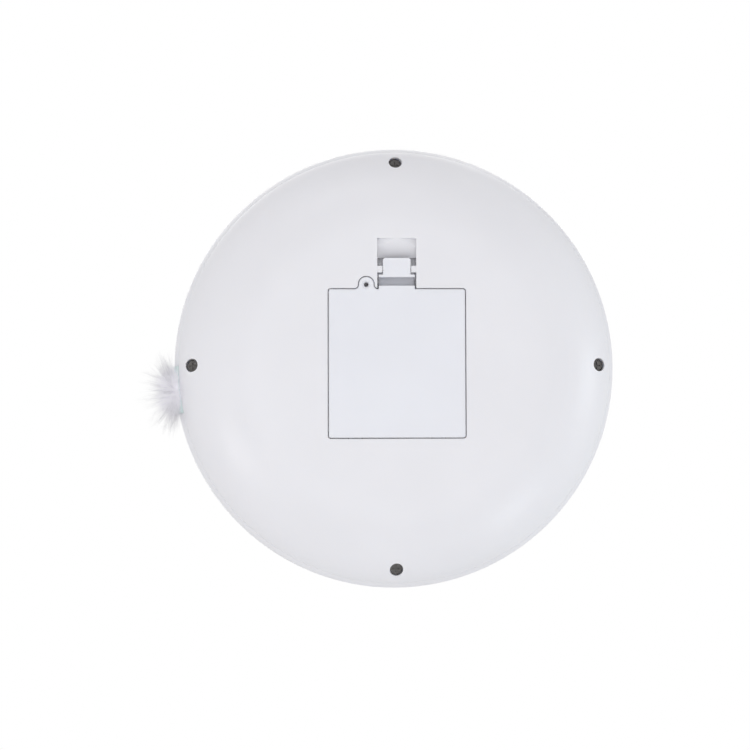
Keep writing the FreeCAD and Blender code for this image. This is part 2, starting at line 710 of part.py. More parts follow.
def lead_routes():
    """Points of each pair of leads, red then black: laser, battery, turret motor, plume motor."""
    level = leadLevel
    rise = boardHeight
    middle = s.boardY
    laser = [
        [(x, 0.0, laserLow), (x, 0.0, level), (x, middle + lane, level), (x, middle + lane, rise)]
        for out, lane, x in LANES["laser"]
    ]
    tail = -bayHalfX - s.bayWall - s.tailLength
    row = s.cellPitch * 1.5
    battery = [
        [(tail, y, cellZ), (tail - out, y, cellZ), (tail - out, y, level),
         (tail - out, middle + lane, level), (end, middle + lane, level), (end, middle + lane, rise)]
        for y, (out, lane, end) in zip((row, -row), LANES["battery"])
    ]
    start = turretMotorX - s.motorRadius - s.terminalReach
    half = s.terminalPitch / 2
    low = s.terminalHeight
    turret_pair = [
        [(start, y, low), (start - out, y, low), (start - out, y, level),
         (start - out, middle + lane, level), (end, middle + lane, level), (end, middle + lane, rise)]
        for y, (out, lane, end) in zip((half, -half), LANES["turret"])
    ]
    motor_x, motor_y = in_plume_frame(plumeMotorX, plumeMotorY)
    start = motor_y + s.motorRadius + s.terminalReach
    plume_pair = [
        [(x, start, low), (x, start + out, low), (x, start + out, level), (x, middle + lane, level),
         (end, middle + lane, level), (end, middle + lane, rise)]
        for x, (out, lane, end) in zip((motor_x - half, motor_x + half), LANES["plume"])
    ]
    return laser, battery, turret_pair, plume_pair


BOSS_TURNS = [360.0 / float(s.screwCount) * index for index in range(int(float(s.screwCount)))]

turretMotorX = -(turretRadius + pinionRadius)
plumeMotorX = derive(
    "plumeMotorX", reductionX + (pinionRadius + reductionRadius) * cosine(s.motorBearing - s.plumeAngle)
)
plumeMotorY = derive(
    "plumeMotorY", (pinionRadius + reductionRadius) * sine(s.motorBearing - s.plumeAngle)
)


def in_plume_frame(x, y):
    """A point given along and across the plume, in the frame of the whole part."""
    turn = s.plumeAngle
    return size(x) * cosine(turn) - size(y) * sine(turn), size(x) * sine(turn) + size(y) * cosine(turn)


def deck_corners():
    """Corners of the drive frame."""
    left = turretMotorX - s.deckEdge
    right = armPivot + s.deckBeyond
    front = -(turretRadius + s.deckFront)
    back = s.boardY + s.boardWidth / 2 + s.deckBack
    return [
        (left, -s.deckFlank), (-s.deckNarrow, front), (s.deckStep, front), (right, -s.deckNose),
        (right, s.deckNose), (s.deckNarrow, back), (-s.deckNarrow, back), (left, s.deckRear),
    ]


def post_places():
    """Screw posts under the drive frame."""
    front = -(turretRadius + s.deckFront) + s.postInset
    back = s.boardY + s.boardWidth / 2 + s.deckBack - s.postInset
    right = armPivot - s.postBefore
    return [(-s.postX, front), (right, -s.postFront), (right, s.postBack), (-s.postX, back)]


def lower_shell():
    inner = bowlRadius - s.wall
    seam_inside = bowl_inside(seamHeight)
    tongue_out = seam_inside - s.fitGap
    skin = turned("bowl", [
        (0.0, 0.0),
        (footRadius, 0.0),
        (seamRadius - s.edgeBreak * 0.4, seamHeight - s.edgeBreak,
         footRadius, bowlRadius, bowlRadius, 1),
        (seamRadius - s.edgeBreak, seamHeight),
        (tongue_out, seamHeight),
        (tongue_out, seamHeight + s.tongueHeight),
        (tongue_out - s.tongueWall, seamHeight + s.tongueHeight),
        (tongue_out - s.tongueWall, seamHeight - s.tongueHeight),
        (bowl_inside(seamHeight - s.tongueHeight), seamHeight - s.tongueHeight),
        (footRadius, s.wall, footRadius, bowlRadius, inner, -1),
        (0.0, s.wall),
    ])
    full = turned("bowl_full", [
        (0.0, 0.0),
        (footRadius, 0.0),
        (bowl_outside(seamHeight - s.edgeBreak * 2), seamHeight - s.edgeBreak * 2,
         footRadius, bowlRadius, bowlRadius, 1),
        (screwCircle, seamHeight - s.edgeBreak * 2),
        (screwCircle, seamHeight),
        (0.0, seamHeight),
    ])
    bosses = [
        rod(f"boss_{n}", s.bossRadius, 0.0, seamHeight, screwCircle, 0.0, turn)
        for n, turn in enumerate(BOSS_TURNS)
    ]
    posts = [
        rod(f"post_{n}", s.postRadius, s.wall / 2, frameHeight, x, y)
        for n, (x, y) in enumerate(post_places())
    ]
    inside = common("bosses", fuse("bosses_long", bosses + posts), fuse("boss_room", [
        full, rod("boss_top", screwCircle + s.bossRadius, seamHeight - s.tongueHeight - s.over, seamHeight),
    ]))
    bay_x = bayHalfX + s.bayWall
    bay_y = bayHalfY + s.bayWall
    ledge = s.wall + s.rebateDepth
    parts = [
        skin,
        inside,
        block("bay_walls", -bay_x, bay_x, -bay_y, bay_y, 0.0, bayRoof + s.bayWall),
        block("ledge", -(openX + s.bayWall), openX + s.bayWall,
              -(openY + s.bayWall + s.hookReach), openY + s.bayWall, 0.0, ledge),
        rod("ear_boss", s.earRadius + s.bayWall + s.doorGap, 0.0, doorTop + s.earBossHeight, s.earX, earY),
        slab("pocket_walls", [
            (bay_y - s.over, 0.0),
            (pocketEnd + s.rampLength + s.pocketWall, 0.0),
            (pocketEnd + s.rampLength + s.pocketWall, s.wall),
            (pocketEnd + s.pocketWall, s.rampDepth + s.pocketWall),
            (pocketEnd + s.pocketWall, pocketTop + s.pocketWall),
            (bay_y - s.over, pocketTop + s.pocketWall),
        ], s.pocketHalf + s.pocketWall),
    ]
    opening = plate("door_opening", frame_corners(openX, openY, s.doorCorner + s.doorGap),
                    -s.over, doorTop + s.fitGap)
    ear_gap = s.earRadius + s.doorGap
    blend = s.earBlend - s.doorGap
    blend_rise = openY + blend - earY
    blend_run = root((ear_gap + blend) * (ear_gap + blend) - blend_rise * blend_rise)
    share = ear_gap / (ear_gap + blend)
    ear_opening = plate("ear_opening", [
        (s.earX + blend_run, openY),
        (s.earX + blend_run * share, earY + blend_rise * share,
         s.earX + blend_run, openY + blend, blend, -1),
        (s.earX - blend_run * share, earY + blend_rise * share, s.earX, earY, ear_gap, 1),
        (s.earX - blend_run, openY, s.earX - blend_run, openY + blend, blend, -1),
        (s.earX - blend_run, openY - s.over),
        (s.earX + blend_run, openY - s.over),
    ], -s.over, doorTop + s.fitGap)
    pocket = slab("latch_pocket", [
        (openY - s.over, -s.over),
        (pocketEnd + s.rampLength * (s.over / s.rampDepth + 1.0), -s.over),
        (pocketEnd, s.rampDepth),
        (pocketEnd, pocketTop),
        (openY - s.over, pocketTop),
    ], s.pocketHalf)
    scoop_sides = wedge("scoop_sides", [
        (-s.pocketHalf, -s.over),
        (s.pocketHalf, -s.over),
        (s.pocketHalf, s.scoopSide),
        (0.0, 0.0),
        (-s.pocketHalf, s.scoopSide),
    ], pocketEnd - s.over, pocketEnd + s.rampLength)
    hook_room = s.hookReach + s.fitGap * 3
    hooks = [
        block(f"hook_slot_{n}", side * s.hookX - s.hookWidth / 2 - s.fitGap,
              side * s.hookX + s.hookWidth / 2 + s.fitGap,
              -openY - hook_room, -bayHalfY + s.over, doorTop, ledge + s.over)
        for n, side in enumerate((-1.0, 1.0))
    ]
    cuts = [
        opening,
        ear_opening,
        pocket,
        scoop_sides,
        block("bay", -bayHalfX, bayHalfX, -bayHalfY, bayHalfY, -s.over, bayRoof),
        rod("ear_pilot", s.earHole * 0.9, 0.0, doorTop + s.earBossHeight - s.earHole, s.earX, earY),
        block("notch_clear", screwCircle, beltRadius + s.over, -s.notchHalf - s.grommetLip - s.over,
              s.notchHalf + s.grommetLip + s.over, seamHeight, seamHeight + s.tongueHeight + s.over,
              s.plumeAngle),
    ] + hooks
    for n, turn in enumerate(BOSS_TURNS):
        cuts.append(rod(f"recess_{n}", s.counterboreRadius, -s.over, headSeat, screwCircle, 0.0, turn))
        cuts.append(rod(f"screw_way_{n}", s.screwRadius + s.fitGap, 0.0, seamHeight + s.over,
                        screwCircle, 0.0, turn))
    for n, (x, y) in enumerate(post_places()):
        cuts.append(rod(f"post_pilot_{n}", s.smallScrewRadius + s.threadGap,
                        deckZ - s.smallScrewLength - s.fitGap, frameHeight + s.over, x, y))
    for n, y in enumerate((s.cellPitch * 1.5, -s.cellPitch * 1.5)):
        wide = s.tailHalf + s.looseGap
        tall = s.tailRise + s.looseGap
        cuts.append(block(f"tail_slot_{n}", -bay_x - s.over, -bayHalfX + s.over, y - wide, y + wide,
                          cellZ - tall, cellZ + tall))
    shell = cut("lower_cut", fuse("lower_blank", parts), cuts)
    catch_y = latchOut + s.catchBack
    extras = [
        block(f"catch_{n}", low, high, catch_y, catch_y + s.catchLength, s.catchInset,
              s.catchInset + s.catchHeight)
        for n, (low, high) in enumerate((
            (-s.pocketHalf - s.bond, -s.pocketHalf + s.catchWidth),
            (s.pocketHalf - s.catchWidth, s.pocketHalf + s.bond),
        ))
    ]
    for n in (-1, 0, 1):
        y = s.cellPitch * n
        extras.append(block(f"cell_rib_{n + 1}", -bayHalfX + s.ribEnd, bayHalfX - s.ribEnd,
                            y - s.cellRibWall / 2, y + s.cellRibWall / 2, bayRoof - s.cellRibHeight,
                            bayRoof + s.bond))
    node(fuse("lower_shell_solid", [shell] + extras), "lower_shell")


def bowl_outside(height):
    return footRadius + root(bowlRadius * bowlRadius - (bowlRadius - height) * (bowlRadius - height))


def upper_profile(name, depth, drop, top_radius):
    """The space under the skin of the upper shell, depth below it, from drop under the seam."""
    low = seamHeight - drop
    foot = [(0.0, low), (flare(seamHeight, depth), low)]
    if drop:
        foot.append((flare(seamHeight, depth), seamHeight))
    return turned(name, foot + [
        (beltRadius - depth, beltHeight, flareX, beltHeight, flareRadius - depth, 1),
        (rollX + (s.rollRadius - depth) * sine(s.crownSlope),
         beltHeight + (s.rollRadius - depth) * cosine(s.crownSlope),
         rollX, beltHeight, s.rollRadius - depth, 1),
        (top_radius, crown(top_radius, depth), 0.0, crownZ, crownRadius - depth, 1),
        (0.0, crown(top_radius, depth)),
    ])


def upper_shell():
    outer = upper_profile("dome_outside", size(0.0), 0.0, s.wellRadius)
    inner = upper_profile("dome_inside", s.wall, s.over, s.wellRadius)
    hollow = cut("dome_hollow", outer, [inner])
    bosses = [
        rod(f"upper_boss_{n}", s.upperBossRadius, seamHeight, beltHeight + s.rollRadius,
            screwCircle, 0.0, turn)
        for n, turn in enumerate(BOSS_TURNS)
    ]
    collar = rod("button_collar", s.buttonRadius + s.fitGap + s.collarWall, collarLow, turretTop,
                 0.0, s.boardY)
    pipe_boss = rod("pipe_boss", s.pipeRadius + s.pipeWall, collarLow, turretTop, s.ledX, s.boardY)
    well = rod("well_wall", s.wellRadius + s.wall, wellFloor, turretTop)
    inside = common("dome_fittings", upper_profile("dome_limit", size(0.0), 0.0, s.wellRadius),
                    fuse("dome_posts", bosses + [collar, pipe_boss, well]))
    cuts = [
        rod("well_room", s.wellRadius, wellFloor + s.wall, turretTop),
        rod("well_way", s.wellHole, wellFloor - s.over, turretTop),
        rod("button_way", s.buttonRadius + s.fitGap, collarLow - s.over, turretTop, 0.0, s.boardY),
        rod("pipe_way", s.pipeRadius + s.threadGap, collarLow - s.over, turretTop, s.ledX, s.boardY),
        block("exit_notch", screwCircle + s.upperBossRadius, beltRadius + s.over, -s.notchHalf,
              s.notchHalf, seamHeight - s.over, notchTop, s.plumeAngle),
    ]
    for n, turn in enumerate(BOSS_TURNS):
        cuts.append(rod(f"upper_pilot_{n}", s.screwRadius + s.threadGap, seamHeight - s.over,
                        headSeat + s.screwLength + s.fitGap, screwCircle, 0.0, turn))
    node(cut("upper_shell_solid", fuse("upper_blank", [hollow, inside]), cuts), "upper_shell")


def exit_grommet():
    """A mint liner in the notch, with a slot that the plume cup swings in."""
    low = seamHeight
    high = notchTop - s.grommetGap
    half = s.notchHalf - s.grommetGap
    flange_in = flareRadius - s.wall - s.grommetGap - s.grommetFlange
    inside, outside = screwCircle, beltRadius + s.grommetProud + s.over

    def band(name, outside, inside, low, high):
        rise_low = beltHeight - low
        rise_high = beltHeight - high
        return turned(name, [
            (flareX + root(outside * outside - rise_low * rise_low), low),
            (flareX + root(outside * outside - rise_high * rise_high), high,
             flareX, beltHeight, outside, 1),
            (flareX + root(inside * inside - rise_high * rise_high), high),
            (flareX + root(inside * inside - rise_low * rise_low), low,
             flareX, beltHeight, inside, -1),
        ], s.grommetSweep)

    seat = low + s.grommetSeat
    meeting = flareRadius - s.wall - s.threadGap
    rim = band("grommet_rim", flareRadius + s.grommetProud, meeting, seat, high)
    lip = band("grommet_lip", meeting, flange_in, seat, notchTop + s.grommetLip)
    rim_cut = common("grommet_body", rim, block("grommet_width", inside, outside, -half, half, low, high))
    lip_cut = common("grommet_flange", lip, block(
        "grommet_flange_width", inside, outside, -half - s.grommetLip, half + s.grommetLip,
        low, notchTop + s.grommetLip + s.over))
    slot = block("grommet_slot", inside, outside, -s.slotHalf, s.slotHalf, slotLow, slotHigh)
    item = cut("exit_grommet_solid", fuse("grommet_blank", [rim_cut, lip_cut]), [slot])
    place(item, turn=s.plumeAngle)
    node(item, "exit_grommet")


def battery_door():
    ring = s.earBlend
    rise = doorY + ring - earY
    run = root((s.earRadius + ring) * (s.earRadius + ring) - rise * rise)
    share = s.earRadius / (s.earRadius + ring)
    corner = s.doorCorner
    sheet_steps = [
        (doorX, doorY - corner),
        (doorX - corner, doorY, doorX - corner, doorY - corner, corner, 1),
        (s.earX + run, doorY),
        (s.earX + run * share, earY + rise * share, s.earX + run, doorY + ring, ring, -1),
        (s.earX - run * share, earY + rise * share, s.earX, earY, s.earRadius, 1),
        (s.earX - run, doorY, s.earX - run, doorY + ring, ring, -1),
        (-doorX + corner, doorY),
        (-doorX, doorY - corner, -doorX + corner, doorY - corner, corner, 1),
        (-doorX, -doorY + corner),
        (-doorX + corner, -doorY, -doorX + corner, -doorY + corner, corner, 1),
        (doorX - corner, -doorY),
        (doorX, -doorY + corner, doorX - corner, -doorY + corner, corner, 1),
    ]
    leg_in = openY + s.latchWall
    leg_far = leg_in + s.latchBend * 2
    bend_y = leg_in + s.latchBend
    outer_bend = s.latchBend + s.latchWall
    band = slab("latch_band", [
        (doorY - s.over, s.doorInset),
        (leg_in, s.doorInset),
        (leg_in, bendZ),
        (bend_y, bendZ + s.latchBend, bend_y, bendZ, s.latchBend, -1),
        (leg_far, bendZ, bend_y, bendZ, s.latchBend, -1),
        (leg_far, s.doorInset),
        (latchOut, s.doorInset),
        (latchOut, bendZ),
        (bend_y, bendZ + outer_bend, bend_y, bendZ, outer_bend, 1),
        (leg_in - s.latchWall, bendZ, bend_y, bendZ, outer_bend, 1),
        (leg_in - s.latchWall, doorTop),
        (doorY - s.over, doorTop),
    ], s.bandHalf)
    tab = plate("latch_tab", [
        (s.tabHalf, leg_far + s.bond),
        (s.tabHalf, tabEnd - corner),
        (s.tabHalf - corner, tabEnd, s.tabHalf - corner, tabEnd - corner, corner, 1),
        (-s.tabHalf + corner, tabEnd),
        (-s.tabHalf, tabEnd - corner, -s.tabHalf + corner, tabEnd - corner, corner, 1),
        (-s.tabHalf, leg_far + s.bond),
    ], s.doorInset, s.doorInset + s.tabThickness)
    hooks = []
    for n, side in enumerate((-1.0, 1.0)):
        x0 = side * s.hookX - s.hookWidth / 2
        x1 = side * s.hookX + s.hookWidth / 2
        low = doorTop + s.fitGap
        root_y = -doorY + s.over
        root_end = root_y + s.doorThickness
        hooks.append(block(f"door_hook_{n}", x0, x1, -doorY - s.hookReach, root_end, low,
                           low + s.hookThickness))
        hooks.append(block(f"door_hook_root_{n}", x0, x1, root_y, root_end, doorTop - s.bond,
                           low + s.bond))
    blank = fuse("door_blank", [plate("door_sheet", sheet_steps, s.doorInset, doorTop), band, tab] + hooks)
    holes = [
        rod("ear_hole", s.earHole, -s.over, doorTop + s.over, s.earX, earY),
        sink("ear_countersink", s.earHole, s.earSink, s.doorInset, s.doorInset + s.over, s.earX, earY),
    ]
    node(cut("battery_door_solid", blank, holes), "battery_door")


def cell_rows():
    """Each cell's Y and the side its nub points to."""
    return [(s.cellPitch * (1.5 - n), 1.0 if n % 2 == 0 else -1.0) for n in range(4)]


def lying_rod(name, radius, x0, x1, y, z):
    """A cylinder along X."""
    item = doc.addObject("Part::Cylinder", name)
    bind(item, Radius=radius, Height=size(x1) - x0)
    item.Placement = Placement(
        Vector(float(x0), float(y), float(z)), Rotation(Vector(0, 1, 0), 90.0)
    )
    item.setExpression("Placement.Base.x", size(x0).text)
    item.setExpression("Placement.Base.y", size(y).text)
    item.setExpression("Placement.Base.z", size(z).text)
    return item


def batteries():
    end = bayHalfX - s.contactThickness
    cells = []
    for n, (y, side) in enumerate(cell_rows()):
        nub_start = (end - s.nubLength) * side
        body_end = nub_start - s.cellLength * side
        low, high = (body_end, nub_start) if side > 0 else (nub_start, body_end)
        can = lying_rod(f"cell_can_{n}", s.cellRadius, low, high, y, cellZ)
        low, high = (nub_start, end * side) if side > 0 else (end * side, nub_start)
        nub = lying_rod(f"cell_nub_{n}", s.nubRadius, low, high, y, cellZ)
        cells.append(fuse(f"cell_{n}", [can, nub]))
    node(group("battery_cells_group", cells), "battery_cells")
    half = s.contactSide / 2
    rows = [y for y, side in cell_rows()]
    spans = [
        ("contact_right_a", 1.0, rows[1] - half, rows[0] + half),
        ("contact_right_b", 1.0, rows[3] - half, rows[2] + half),
        ("contact_left_mid", -1.0, rows[2] - half, rows[1] + half),
        ("contact_left_top", -1.0, rows[0] - half, rows[0] + half),
        ("contact_left_low", -1.0, rows[3] - half, rows[3] + half),
    ]
    plates = []
    for name, side, y0, y1 in spans:
        low, high = (end, bayHalfX) if side > 0 else (-bayHalfX, -end)
        sheet_part = block(name, low, high, y0, y1, cellZ - half, cellZ + half)
        if name in ("contact_left_top", "contact_left_low"):
            middle = (y0 + y1) / 2
            tail = block(name + "_tail", -bayHalfX - s.bayWall - s.tailLength, -end, middle - s.tailHalf,
                         middle + s.tailHalf, cellZ - s.tailRise, cellZ + s.tailRise)
            sheet_part = fuse(name + "_plate", [sheet_part, tail])
        plates.append(sheet_part)
    node(group("battery_contacts_group", plates), "battery_contacts")


def biarc(start, start_way, end, end_way):
    """Two arcs, tangent to each other and to both directions, as edges."""
    chord = end - start
    ways = start_way + end_way
    spread = 4.0 - ways.dot(ways)
    reach = chord.dot(ways)
    step = (-reach + math.sqrt(reach * reach + spread * chord.dot(chord))) / spread
    first = start + start_way * step
    second = end - end_way * step
    joint = (first + second) * 0.5
    edges = []
    for a, corner, b in ((start, first, joint), (joint, second, end)):
        middle = (a + b) * 0.5
        rise = (corner - middle).Length
        half = (b - a).Length / 2
        bend = math.atan2(rise, half)
        sagitta = half / math.sin(bend) * (1 - math.cos(bend))
        edges.append(Part.Arc(a, middle + (corner - middle) * (sagitta / rise), b).toShape())
    return edges


def battery_springs():
    """Round wire: straight at the plate, coils at a steady pitch, straight again at the cell."""
    wire = float(s.springWire)
    mean = float(s.springRadius)
    room = float(s.springRoom)
    straight = wire * 2
    bend = wire * 3
    turns = 4
    pitch = (room - 2 * (straight + bend)) / turns
    quarter = math.pi / 2
    lean = pitch / (2 * math.pi)
    axis = Vector(1, 0, 0)

    def on_coil(angle, along):
        return Vector(along, mean * math.cos(angle), mean * math.sin(angle))

    def way(angle):
        tangent = Vector(lean, -mean * math.sin(angle), mean * math.cos(angle))
        return tangent.normalize()

    start_x = straight + bend
    coil = [(quarter * k, start_x + pitch * k / 4.0) for k in range(turns * 4 + 1)]
    points = [on_coil(angle, along) for angle, along in coil]
    ways = [way(angle) for angle, along in coil]
    entry = points[0] - ways[0] * bend
    entry.x = straight
    leave = points[-1] + ways[-1] * bend
    leave.x = room - straight
    edges = [Part.LineSegment(entry - axis * straight, entry).toShape()]
    edges += biarc(entry, axis, points[0], ways[0])
    for k in range(len(points) - 1):
        edges += biarc(points[k], ways[k], points[k + 1], ways[k + 1])
    edges += biarc(points[-1], ways[-1], leave, axis)
    edges.append(Part.LineSegment(leave, leave + axis * straight).toShape())
    path = Part.Wire(edges)
    section = Part.Wire(Part.makeCircle(wire, entry - axis * straight, axis))
    coil_shape = path.makePipeShell([section], True, False)
    print("spring volume ratio", coil_shape.Volume / (math.pi * wire ** 2 * path.Length))
    print("spring least gap to itself", round(pitch - 2 * wire, 3))
    end = float(bayHalfX - s.contactThickness)
    springs = []
    for n, (y, side) in enumerate(cell_rows()):
        item = doc.addObject("Part::Feature", f"spring_{n}")
        item.Shape = coil_shape
        turn = Rotation(Vector(0, 0, 1), 0.0 if side > 0 else 180.0)
        item.Placement = Placement(Vector(-end * side, float(y), float(cellZ)), turn)
        springs.append(item)
    node(group("battery_springs_group", springs), "battery_springs")


def housing_screws():
    screws = []
    for n, turn in enumerate(BOSS_TURNS):
        x = screwCircle * cosine(turn)
        y = screwCircle * sine(turn)
        screws.append(screw(f"housing_screw_{n}", s.screwRadius, s.screwLength, s.screwHeadRadius,
                            s.screwHeadHeight, headSeat, x, y, up=False))
    node(group("housing_screws_group", screws), "housing_screws")


def drive_frame():
    low = frameHeight
    deck = plate("deck", deck_corners(), low, deckZ)
    pivot_x, pivot_y = in_plume_frame(armPivot, 0.0)
    gear_x, gear_y = in_plume_frame(reductionX, 0.0)
    motor_x, motor_y = in_plume_frame(plumeMotorX, plumeMotorY)
    boss_low = low - s.deckBoss
    over_deck = deckZ + s.over
    under_deck = low - s.over
    parts = [
        deck,
        rod("laser_post", s.laserPostRadius, low, wellFloor),
        rod("thrust_ring", s.thrustRadius, low, deckZ + s.thrustRing),
        rod("pivot_boss", s.armPinRadius + s.pinWall, boss_low, gearLow - s.fitGap, pivot_x, pivot_y),
        rod("axle_boss", s.shaftRadius + s.pinWall, boss_low, gearLow - s.fitGap, gear_x, gear_y),
    ] + [
        rod(f"board_post_{n}", s.boardPostRadius, low, boardHeight, s.boardPostX * side, s.boardY)
        for n, side in enumerate((-1.0, 1.0))
    ]
    cuts = [
        rod("laser_bore", s.laserRadius + s.threadGap, laserLow, wellFloor + s.over),
        rod("laser_duct", s.laserDuct, under_deck, laserLow + s.over),
        rod("pivot_hole", s.armPinRadius + s.threadGap, low - s.pinDepth, gearLow, pivot_x, pivot_y),
        rod("axle_hole", s.shaftRadius + s.threadGap, low - s.pinDepth, gearLow, gear_x, gear_y),
        rod("turret_motor_nose", s.motorNose + s.looseGap, under_deck, over_deck, turretMotorX, 0.0),
        rod("plume_motor_nose", s.motorNose + s.looseGap, under_deck, over_deck, motor_x, motor_y),
    ]
    for n, (x, y) in enumerate(post_places()):
        cuts.append(rod(f"frame_hole_{n}", s.smallScrewRadius + s.fitGap, under_deck, over_deck, x, y))
    for n, (x, y) in enumerate(motor_screw_places()):
        cuts.append(rod(f"motor_hole_{n}", s.motorScrewRadius + s.looseGap, under_deck, over_deck, x, y))
    for n, side in enumerate((-1.0, 1.0)):
        cuts.append(rod(f"board_pilot_{n}", s.boardScrewRadius + s.threadGap,
                        boardHeight + s.boardThickness - s.boardScrewLength - s.fitGap,
                        boardHeight + s.over, s.boardPostX * side, s.boardY))
    for n, route in enumerate(route for pair in lead_routes() for route in pair):
        cuts.append(rod(f"lead_hole_{n}", s.leadHole, under_deck, over_deck, route[-1][0], route[-1][1]))
    node(cut("drive_frame_solid", fuse("drive_frame_blank", parts), cuts), "drive_frame")
    screws = [
        screw(f"frame_screw_{n}", s.smallScrewRadius, s.smallScrewLength, s.smallHeadRadius,
              s.smallHeadHeight, deckZ, x, y)
        for n, (x, y) in enumerate(post_places())
    ]
    node(group("frame_screws_group", screws), "frame_screws")
    washer = rod("washer_disc", s.thrustRadius, deckZ + s.thrustRing, gearLow)
    hole = rod("washer_hole", s.laserPostRadius + s.looseGap, deckZ, gearLow + s.over)
    node(cut("thrust_washer_solid", washer, [hole]), "thrust_washer")


def motor_screw_places():
    motor_x, motor_y = in_plume_frame(plumeMotorX, plumeMotorY)
    places = []
    for side in (-1.0, 1.0):
        places.append((turretMotorX, s.motorScrewOffset * side))
    for side in (-1.0, 1.0):
        places.append((motor_x + s.motorScrewOffset * side * cosine(s.motorCant),
                       motor_y + s.motorScrewOffset * side * sine(s.motorCant)))
    return places


def motors():
    motor_x, motor_y = in_plume_frame(plumeMotorX, plumeMotorY)
    shaft_low = frameHeight - s.shaftDepth
    screw_places = motor_screw_places()
    reach = s.motorRadius + s.terminalReach
    wide = s.terminalPitch / 2 + s.terminalSide
    seat = s.motorRadius - s.terminalSeat
    for name, x, y, pair, terminals in (
        ("turret_motor", turretMotorX, 0.0, screw_places[:2],
         (turretMotorX - reach, turretMotorX - seat, -wide, wide)),
        ("plume_motor", motor_x, motor_y, screw_places[2:],
         (motor_x - wide, motor_x + wide, motor_y + seat, motor_y + reach)),
    ):
        bx0, bx1, by0, by1 = terminals
        can = fuse(name + "_blank", [
            rod(name + "_can", s.motorRadius, frameHeight - s.motorHeight, frameHeight, x, y),
            rod(name + "_nose", s.motorNose, frameHeight - s.over, frameHeight + s.motorNoseHeight, x, y),
            block(name + "_terminals", bx0, bx1, by0, by1, s.terminalHeight - s.terminalHalf,
                  s.terminalHeight + s.terminalHalf),
        ])
        cuts = [rod(name + "_bore", s.shaftRadius + s.runGap, shaft_low - s.fitGap, deckZ, x, y)]
        for n, (px, py) in enumerate(pair):
            cuts.append(rod(f"{name}_tap_{n}", s.motorScrewRadius + s.threadGap,
                            deckZ - s.motorScrewLength - s.fitGap, frameHeight + s.over, px, py))
        node(cut(name + "_solid", can, cuts), name)
        node(rod(name + "_shaft_rod", s.shaftRadius, shaft_low, gearHigh, x, y), name + "_shaft")
    screws = [
        screw(f"motor_screw_{n}", s.motorScrewRadius, s.motorScrewLength, s.motorHeadRadius,
              s.motorHeadHeight, deckZ, x, y)
        for n, (x, y) in enumerate(screw_places)
    ]
    node(group("motor_screws_group", screws), "motor_screws")


def gear_shape(teeth, low, high, bore, phase):
    """A spur gear as a solid: involute flanks in four steps, cut back by the play on each flank."""
    module = float(s.gearModule)
    play = float(s.toothPlay)
    pitch = teeth * module / 2
    base = pitch * math.cos(math.radians(float(s.pressureAngle)))
    tip = pitch + float(s.toothTip) * module
    foot = pitch - float(s.toothFoot) * module

    def involute(radius):
        turn = math.acos(base / radius)
        return math.tan(turn) - turn

    half = math.pi / (2 * teeth) - play / (2 * pitch) + involute(pitch)
    flank = []
    start = max(base, foot)
    for step in range(5):
        radius = start + (tip - start) * step / 4.0
        flank.append((radius, half - involute(radius)))
    if foot < base:
        flank.insert(0, (foot, half))
    points = []
    for index in range(teeth):
        middle = 2 * math.pi * index / teeth + math.radians(phase)
        for radius, angle in flank:
            points.append((radius, middle - angle))
        for radius, angle in reversed(flank):
            points.append((radius, middle + angle))
    corners = [Vector(r * math.cos(a), r * math.sin(a), float(low)) for r, a in points]
    face = Part.Face(Part.makePolygon(corners + [corners[0]]))
    gear = face.extrude(Vector(0, 0, float(high) - float(low)))
    if bore:
        gear = gear.cut(cylinder(bore, low - float(s.over), high + float(s.over)))
    return gear


def cylinder(radius, low, high, x=0.0, y=0.0):
    foot = Vector(float(x), float(y), float(low))
    return Part.makeCylinder(float(radius), float(high) - float(low), foot)


def mesh_phase(teeth, toward):
    """Phase, in degrees, that puts a tooth gap on the line towards the other gear."""
    return toward + 180.0 / teeth


